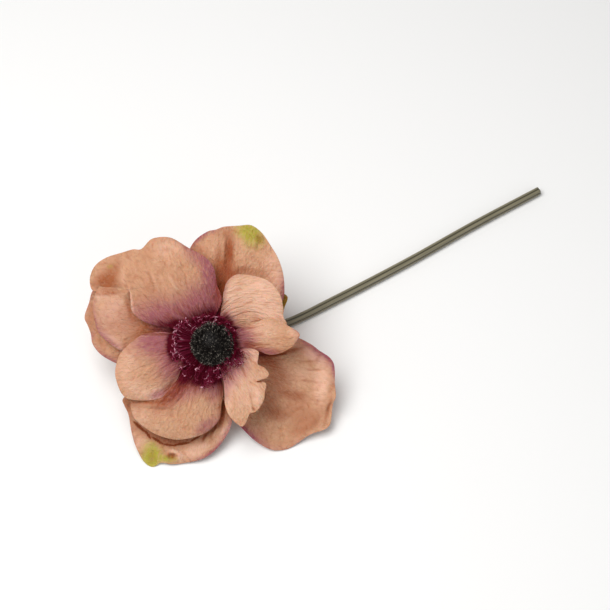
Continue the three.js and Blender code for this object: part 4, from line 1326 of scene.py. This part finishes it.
def tubes(paths, radii, sides):
    """Closed tubes along many paths at once.

    paths is an array of paths by points by three, and radii of paths by points. Each ring of a tube lies
    square to its path: the radius times cosine and sine along two directions square to the path.
    """
    count, rings = radii.shape
    along = np.gradient(paths, axis=1)
    along /= np.linalg.norm(along, axis=2)[:, :, None]
    guide = np.where(np.abs(along[:, :, 2:3]) < UPRIGHT, [[[0.0, 0.0, 1.0]]], [[[1.0, 0.0, 0.0]]])
    side = np.cross(along, guide)
    side /= np.linalg.norm(side, axis=2)[:, :, None]
    up = np.cross(side, along)
    angle = np.linspace(0, 2 * math.pi, sides, endpoint=False)[:, None]
    ring = side[:, :, None] * np.cos(angle) + up[:, :, None] * np.sin(angle)
    skin = paths[:, :, None] + ring * radii[:, :, None, None]
    points = np.concatenate([skin.reshape(count, -1, 3), paths[:, :1], paths[:, -1:]], axis=1)
    shift = points.shape[1] * np.arange(count)[:, None, None]
    faces = [(part + shift).reshape(-1, part.shape[1]) for part in capped_faces(rings, sides)]
    return points.reshape(-1, 3), faces


def round_skin(outline, segments):
    """A closed skin of revolution: its outline's radii times cosine and sine, capped at both ends."""
    radii, heights = np.array(outline).T[:, :, None]
    angle = np.linspace(0, 2 * math.pi, segments, endpoint=False)
    level = np.repeat(heights, segments, axis=1)
    skin = np.stack([radii * np.cos(angle), radii * np.sin(angle), level], axis=2)
    ends = [[0, 0, heights[0, 0]], [0, 0, heights[-1, 0]]]
    return np.vstack([skin.reshape(-1, 3), ends]), turned_over(capped_faces(len(radii), segments))


def dome_outline():
    """The disc's core: a neck, then a dome whose radius and height go as cosine and sine of the rise."""
    rise = np.linspace(0, math.pi / 2, DOME_STEPS)[:-1]
    radii = (DISC_RADIUS - DOME_DEPTH) * np.cos(rise)
    heights = DISC_WAIST + (DISC_TOP - DISC_WAIST - DOME_DEPTH) * np.sin(rise)
    neck = [(DISC_NECK_RADIUS, DISC_FOOT), (DISC_NECK_RADIUS, DISC_NECK_TOP)]
    return neck + list(zip(radii, heights))


def bristle_paths(settings, random):
    """Short bent bristles spread over the dome by the golden angle, each leaning a little at random.

    A bristle's root lies in the dome, and its points leave it by the share of the length, with a bend
    that grows with the square of that share.
    """
    count = settings.bristles
    index = np.arange(count) + 0.5
    rise = np.arcsin(1 - BRISTLE_SPREAD * index / count)
    turn = index * math.pi * (3 - math.sqrt(5))
    outward = np.stack([np.cos(rise) * np.cos(turn), np.cos(rise) * np.sin(turn), np.sin(rise)], axis=1)
    core = np.array([DISC_RADIUS, DISC_RADIUS, DISC_TOP - DISC_WAIST]) - DOME_DEPTH
    root = outward * (core - BRISTLE_DEPTH) + [0, 0, DISC_WAIST]
    way = outward + random.normal(0, BRISTLE_LEAN, (count, 3))
    way /= np.linalg.norm(way, axis=1)[:, None]
    length = settings.bristle_length / MM * random.uniform(*BRISTLE_LENGTHS, count)
    share = np.array(BRISTLE_SHARES)
    bend = random.normal(0, BRISTLE_LEAN, (count, 3))
    return (
        root[:, None, :]
        + way[:, None, :] * (length[:, None] * share)[:, :, None]
        + bend[:, None, :] * (length[:, None] * share**2)[:, :, None]
    )


def threads_on(core, paths, radii, tone, sides):
    """Threads on a core as one mesh, and its tone: 0 on the core, and each ring's own on the threads."""
    core_points, core_faces = core
    points, faces = tubes(paths, radii, sides)
    faces = core_faces + [corners + len(core_points) for corners in faces]
    rings = np.repeat(tone, sides, axis=1)
    tone = np.concatenate([rings, tone[:, :1], tone[:, -1:]], axis=1).ravel()
    tone = np.concatenate([np.zeros(len(core_points)), tone])
    return from_bloom(np.vstack([core_points, points])), faces, {"tone": tone}


def disc_material(settings):
    """Black fibres with a soft gloss, whose tips are lightened by painted glints."""
    material, shader = new_material("disc_fibres", FIBRE_FINISH)
    color = mix_color(material, attribute_of(material, "tone"), settings.disc_color, settings.bristle_glint_color)
    material.node_tree.links.new(color, shader.inputs["Base Color"])
    return material


def stamen_reach(angle):
    """How far a stamen reaches in a direction, read between the values of STAMEN_REACH."""
    degrees = np.degrees(angle) % 360
    return np.interp(degrees, list(STAMEN_REACH), list(STAMEN_REACH.values()), period=360)


def stamen_paths(settings, random):
    """Filaments that rise from a low ring, reach outwards over the petals and curl at the tip.

    Each radius grows as a sine to a reach that changes round the ring. Each height is an arch, and the
    last part turns aside and back as a random sine, more and more towards the tip. The tips are also
    swept round the ring, most of all on the upper side. The second result is how bright each point is
    painted: painted highlights in dashes, and on the tuft's side pale tips too.
    """
    count = settings.stamens
    t = np.linspace(0, 1, STAMEN_STEPS)[None, :]

    def drawn(least, most):
        """A value for each filament, drawn evenly between two values."""
        return random.uniform(least, most, count)[:, None]

    angle = 2 * math.pi * (np.arange(count) + random.uniform(0, 1, count)) / count
    angle = (angle + random.choice([-STAMEN_CLUMP, 0, STAMEN_CLUMP], count))[:, None]
    shortening = STAMEN_SHORTENING * drawn(0, 1) ** SHORTENING_POWER
    reach = stamen_reach(angle) * (STAMEN_LONGEST - shortening)
    tuft = np.cos(angle - math.radians(TUFT_SIDE)) > math.cos(TUFT_HALF_ANGLE)
    reach = np.where(tuft, stamen_reach(angle) * drawn(*TUFT_REACH), reach)
    root = STAMEN_ROOT_RADIUS + drawn(*STAMEN_ROOTS)
    over = drawn(*STAMEN_BENDS)
    radius = root + (reach - root) * np.sin(math.pi / 2 * over * t) ** BEND_POWER
    height = STAMEN_FOOT + (drawn(*STAMEN_TOPS) - STAMEN_FOOT) * np.sin(math.pi * STAMEN_ARCH * t)
    late = smooth_step(t, *CURL_START)
    turns = drawn(*CURL_TURNS)
    phase = drawn(0, 2 * math.pi)
    upper = np.sin(angle) > UPPER_SIDE
    curl = (1 + CURL_TANGLE * (np.sin(angle) < UPPER_SIDE)) * drawn(*CURLS) * late
    swept = STAMEN_SWEEP * random.normal(0, 1, count)[:, None] * (LOWER_SWEEP + (1 - LOWER_SWEEP) * upper)
    sideways = curl * np.sin(2 * math.pi * turns * t + phase) + swept * late**2
    radius = radius + CURL_OUT * curl * np.cos(2 * math.pi * turns * t + phase)
    height = height + CURL_UP * curl * np.sin(2 * math.pi * turns * t + 2 * phase)
    lean = random.normal(0, STAMEN_LEAN, count)[:, None] * t
    turned = angle + lean + sideways / radius
    bright = drawn(0, 1) ** BRIGHT_POWER
    bright = np.where(tuft, TUFT_GLOW + (1 - TUFT_GLOW) * bright, bright)
    bright = bright * (1 - PLAIN_DIMMING * (np.cos(angle - math.radians(PLAIN_SIDE)) > PLAIN_COSINE))
    dashes = np.sin(2 * math.pi * drawn(*DASHES) * t + 3 * phase)
    lit = smooth_step(dashes, *DASH_EDGE) * smooth_step(t, *DASH_START)
    lit = np.where(tuft, np.maximum(lit, smooth_step(t, *TUFT_TIPS)), lit)
    tone = bright * (drawn(*STAMEN_GLOW) + DASH_GLOW * lit)
    return np.stack([radius * np.cos(turned), radius * np.sin(turned), height], axis=2), tone


def stamen_material(settings):
    """Deep burgundy threads with a silky gloss, crimson to pink towards some of the tips, partly as painted
    highlights in dashes.
    """
    material, shader = new_material("stamen_thread", THREAD_FINISH)
    link = material.node_tree.links.new
    ramp = add_node(material, "ShaderNodeValToRGB")
    stops = ramp.color_ramp.elements
    stops[0].color = (*settings.stamen_color, 1)
    stops[1].color = (*settings.anther_color, 1)
    stops.new(THREAD_STOP).color = (*settings.thread_color, 1)
    link(attribute_of(material, "tone"), ramp.inputs["Fac"])
    link(ramp.outputs["Color"], shader.inputs["Base Color"])
    return material


def stem_line():
    """The stem's middle line and its radius, from under the bloom to its cut end.

    Where it lies on the floor, the line is as high as the flat crest of the rib beneath it.
    """
    behind = [ORIGIN - FACING * distance for distance in STEM_BEHIND]
    route = [GROUND + np.array(point, float) for point in STEM_ROUTE]
    lying = [GROUND + np.array([x, y, STEM_RADIUS]) for x, y in STEM_LYING]
    share = np.linspace(0, 1, STEM_RINGS) ** STEM_CROWDING
    line = open_curve(np.array(behind + route + lying), share)
    radius = STEM_RADIUS + (STEM_END_RADIUS - STEM_RADIUS) * share
    rest = radius * math.cos(RIB_HALF_ANGLE)
    touchdown = GROUND[0] + STEM_LYING[0][0]
    line[:, 2] = np.maximum(line[:, 2], rest)
    line[:, 2] = np.where(line[:, 0] > touchdown, rest, line[:, 2])
    return line, radius


def stem_section(angle):
    """The stem's radius round its middle as a share of its own, and how deep the grooves are there.

    The radius dips between ribs by a power of a raised cosine, and each rib's crest is cut flat.
    """
    from_rib = (angle + math.pi / 2) * STEM_RIBS
    groove = (0.5 - 0.5 * np.cos(from_rib)) ** GROOVE_POWER
    section = 1 - (1 - GROOVE_SHARE) * groove
    from_crest = (from_rib + math.pi) % (2 * math.pi) / STEM_RIBS - math.pi / STEM_RIBS
    crest = np.cos(RIB_HALF_ANGLE) / np.maximum(np.cos(from_crest), STEEPEST_CREST)
    return np.minimum(section, np.maximum(crest, GROOVE_SHARE)), groove


def seat_profile():
    """The receptacle's heights and radii at many steps along its outline, with rounded corners."""
    corners = np.array(RECEPTACLE, float)
    spots = points_at(corners, np.linspace(0, length_at(corners)[-1], RECEPTACLE_RINGS))
    eased = spots.copy()
    eased[1:-1] = (spots[:-2] + 2 * spots[1:-1] + spots[2:]) / 4
    return eased


def stem_mesh():
    """The ribbed stem and its receptacle: rings along the receptacle's profile, then along the stem's line.

    A ring is its radii times cosine and sine along two directions square to the line.
    """
    line, radius = stem_line()
    along = np.gradient(line, axis=0)
    along /= np.linalg.norm(along, axis=1)[:, None]
    up = np.empty_like(line)
    current = np.array([0.0, 0.0, 1.0])
    for index in range(len(line) - 1, -1, -1):  # from the cut end back, so that one rib stays below
        current = current - along[index] * (current @ along[index])
        current /= np.linalg.norm(current)
        up[index] = current
    side = np.cross(up, along)
    angle = np.linspace(0, 2 * math.pi, STEM_SIDES, endpoint=False)
    section, groove = stem_section(angle)
    seat = seat_profile()
    middles = np.vstack([ORIGIN + FACING * seat[:, :1], line])
    reach = np.vstack([np.repeat(seat[:, 1:], STEM_SIDES, axis=1), radius[:, None] * section])
    first = np.zeros(len(seat), int)  # the receptacle's rings lie as the stem's first one does
    order = np.concatenate([first, np.arange(len(line))])
    ring = np.cos(angle)[:, None] * side[order][:, None] + np.sin(angle)[:, None] * up[order][:, None]
    skin = middles[:, None] + reach[:, :, None] * ring
    points = np.vstack([skin.reshape(-1, 3), middles[:1], middles[-1:]])
    # Painted shade: how far each point is darkened, growing into the grooves
    depth = np.concatenate([np.zeros(len(seat) * STEM_SIDES), np.tile(groove**2, len(line)), [0, 0]])
    return points, turned_over(capped_faces(len(middles), STEM_SIDES)), {"groove": depth}


def stem_material(settings):
    """Olive moulded skin with painted shade in the grooves, and fine lengthwise streaks."""
    material, shader = new_material("stem_skin", STEM_FINISH)
    link = material.node_tree.links.new
    place = add_node(material, "ShaderNodeTexCoord").outputs["Object"]
    streak = stretched_noise(material, place, *STEM_STREAKS)
    color = mix_color(material, attribute_of(material, "groove"), settings.light_color, settings.groove_shade_color)
    faint = map_range(material, streak, *STREAK_RANGE, 0.0, STREAK_STRENGTH)
    color = mix_color(material, faint, color, settings.streak_color)
    link(color, shader.inputs["Base Color"])
    link(relief(material, streak, *STREAK_RELIEF), shader.inputs["Normal"])
    return material


class ANEMONE_OT_petals(bpy.types.Operator):
    """Makes the twelve petals in their layers"""

    bl_idname = "anemone.petals"
    bl_label = "Petals"

    def execute(self, context):
        settings = context.scene.anemone_flower
        material = petal_material(settings)
        for index, petal in enumerate(PETALS.values()):
            petal["seed"] = PETAL_SEED + SEEDS_EACH * index
            petal["reach"] = reach_table(petal)
            petal["rim_map"] = rim_map(petal)
        for name in PETALS:
            points, faces, veins, paint = petal_mesh(name, settings)
            soft_name = name.replace("petal", "soft_petal")
            new_piece(soft_name, from_bloom(points), faces, material, name, veins, paint)
        return {"FINISHED"}


class ANEMONE_OT_disc(bpy.types.Operator):
    """Makes the dark bristly disc"""

    bl_idname = "anemone.disc"
    bl_label = "Disc"

    def execute(self, context):
        settings = context.scene.anemone_heart
        random = np.random.default_rng(DISC_SEED)
        paths = bristle_paths(settings, random)
        radii = np.array(BRISTLE_RADII) * random.uniform(*BRISTLE_GIRTHS, (len(paths), 1))
        # How much painted glint each bristle has towards its tip
        tone = np.array(BRISTLE_TONES) * random.uniform(0, 1, (len(paths), 1)) ** BRISTLE_PALE_POWER
        dome = round_skin(dome_outline(), CORE_SEGMENTS)
        points, faces, paint = threads_on(dome, paths, radii, tone, BRISTLE_SIDES)
        new_piece("bristly_disc", points, faces, disc_material(settings), "disc", paint=paint)
        return {"FINISHED"}


class ANEMONE_OT_stamens(bpy.types.Operator):
    """Makes the ring of curled stamens"""

    bl_idname = "anemone.stamens"
    bl_label = "Stamens"

    def execute(self, context):
        settings = context.scene.anemone_heart
        random = np.random.default_rng(STAMEN_SEED)
        paths, tone = stamen_paths(settings, random)
        swell = np.ones(STAMEN_STEPS)
        swell[-len(TIP_SWELL) :] = TIP_SWELL
        radii = settings.filament_radius / MM * swell * random.uniform(*STAMEN_GIRTHS, (len(paths), 1))
        ring = round_skin(STAMEN_RING, CORE_SEGMENTS)
        points, faces, paint = threads_on(ring, paths, radii, tone, STAMEN_SIDES)
        material = stamen_material(settings)
        new_piece("curled_stamens", points, faces, material, "stamens", paint=paint)
        return {"FINISHED"}


class ANEMONE_OT_stem(bpy.types.Operator):
    """Makes the ribbed stem with its receptacle"""

    bl_idname = "anemone.stem"
    bl_label = "Stem"

    def execute(self, context):
        settings = context.scene.anemone_stem
        points, faces, paint = stem_mesh()
        new_piece("ribbed_stem", points, faces, stem_material(settings), "stem", paint=paint)
        return {"FINISHED"}


def place_aimed(name, data, place, target):
    """A light or camera put at place and looking at target, both in millimetres of the part's frame."""
    thing = bpy.data.objects.new(name, data)
    bpy.context.scene.collection.objects.link(thing)
    thing.location = Vector((place * MM).tolist())
    thing.rotation_mode = "QUATERNION"
    thing.rotation_quaternion = Vector((target - place).tolist()).to_track_quat("-Z", "Y")
    return thing


def area_light(name, direction, color, power):
    """A square soft light that looks at the bloom from a direction of the bloom's frame."""
    light = bpy.data.lights.new(name, "AREA")
    light.size = LIGHT_SIZE
    light.energy = power
    light.color = color
    place_aimed(name, light, from_bloom(LIGHT_DISTANCE * np.array(direction)), ORIGIN)


class ANEMONE_OT_stage(bpy.types.Operator):
    """Makes the pale floor, the soft lights and the camera"""

    bl_idname = "anemone.stage"
    bl_label = "Stage"

    def execute(self, context):
        settings = context.scene.anemone_stage
        scene = context.scene
        material, shader = new_material("floor_paper", PAPER_FINISH)
        shader.inputs["Base Color"].default_value = (*settings.floor_color, 1)
        side = FLOOR_HALF_SIDE
        mesh = bpy.data.meshes.new("floor")
        corners = [(-side, -side, 0), (side, -side, 0), (side, side, 0), (-side, side, 0)]
        mesh.from_pydata(corners, [], [(0, 1, 2, 3)])
        mesh.materials.append(material)
        floor = bpy.data.objects.new("floor", mesh)
        floor.location.z = -FLOOR_DEPTH
        scene.collection.objects.link(floor)

        world = bpy.data.worlds.new("pale_room")
        world.use_nodes = True
        back = world.node_tree.nodes["Background"]
        back.inputs["Color"].default_value = (1, 1, 1, 1)
        back.inputs["Strength"].default_value = settings.air
        scene.world = world
        scene.view_settings.view_transform = "Standard"
        area_light("main_light", *MAIN_LIGHT, settings.key_power)
        area_light("second_light", *SECOND_LIGHT, settings.fill_power)

        camera = bpy.data.cameras.new("camera")
        camera.lens = settings.lens
        camera.sensor_width = SENSOR_WIDTH
        camera.clip_start = CLIP_START
        camera.clip_end = CLIP_END
        place = from_bloom(CAMERA_PLACE) + settings.distance / MM * FACING
        scene.camera = place_aimed("camera", camera, place, place - FACING)
        return {"FINISHED"}


class ANEMONE_PT_sidebar(bpy.types.Panel):
    """The anemone's sizes, colours and pieces"""

    bl_idname = "ANEMONE_PT_sidebar"
    bl_label = "Anemone"
    bl_space_type = "VIEW_3D"
    bl_region_type = "UI"
    bl_category = "Anemone"

    def draw(self, context):
        for group in GROUPS:
            settings = getattr(context.scene, group)
            box = self.layout.box()
            for key in settings.bl_rna.properties.keys():
                if key not in ("rna_type", "name"):
                    box.prop(settings, key)
        for piece in ("petals", "disc", "stamens", "stem", "stage"):
            self.layout.operator("anemone." + piece)


GROUPS = {
    "anemone_flower": FlowerSettings,
    "anemone_heart": HeartSettings,
    "anemone_stem": StemSettings,
    "anemone_stage": StageSettings,
}
CLASSES = (
    *GROUPS.values(),
    ANEMONE_OT_petals,
    ANEMONE_OT_disc,
    ANEMONE_OT_stamens,
    ANEMONE_OT_stem,
    ANEMONE_OT_stage,
    ANEMONE_PT_sidebar,
)


def register():
    """Registers the settings, the operators and the panel, and gives a scene its settings."""
    for item in CLASSES:
        bpy.utils.register_class(item)
    for name, group in GROUPS.items():
        setattr(bpy.types.Scene, name, PointerProperty(type=group))


def unregister():
    """Takes back what register has done, in the opposite order."""
    for name in GROUPS:
        delattr(bpy.types.Scene, name)
    for item in reversed(CLASSES):
        bpy.utils.unregister_class(item)


def main():
    """Makes the stage and all pieces in order."""
    register()
    bpy.ops.anemone.stage()
    bpy.ops.anemone.stem()
    bpy.ops.anemone.petals()
    bpy.ops.anemone.disc()
    bpy.ops.anemone.stamens()


if __name__ == "__main__":
    main()
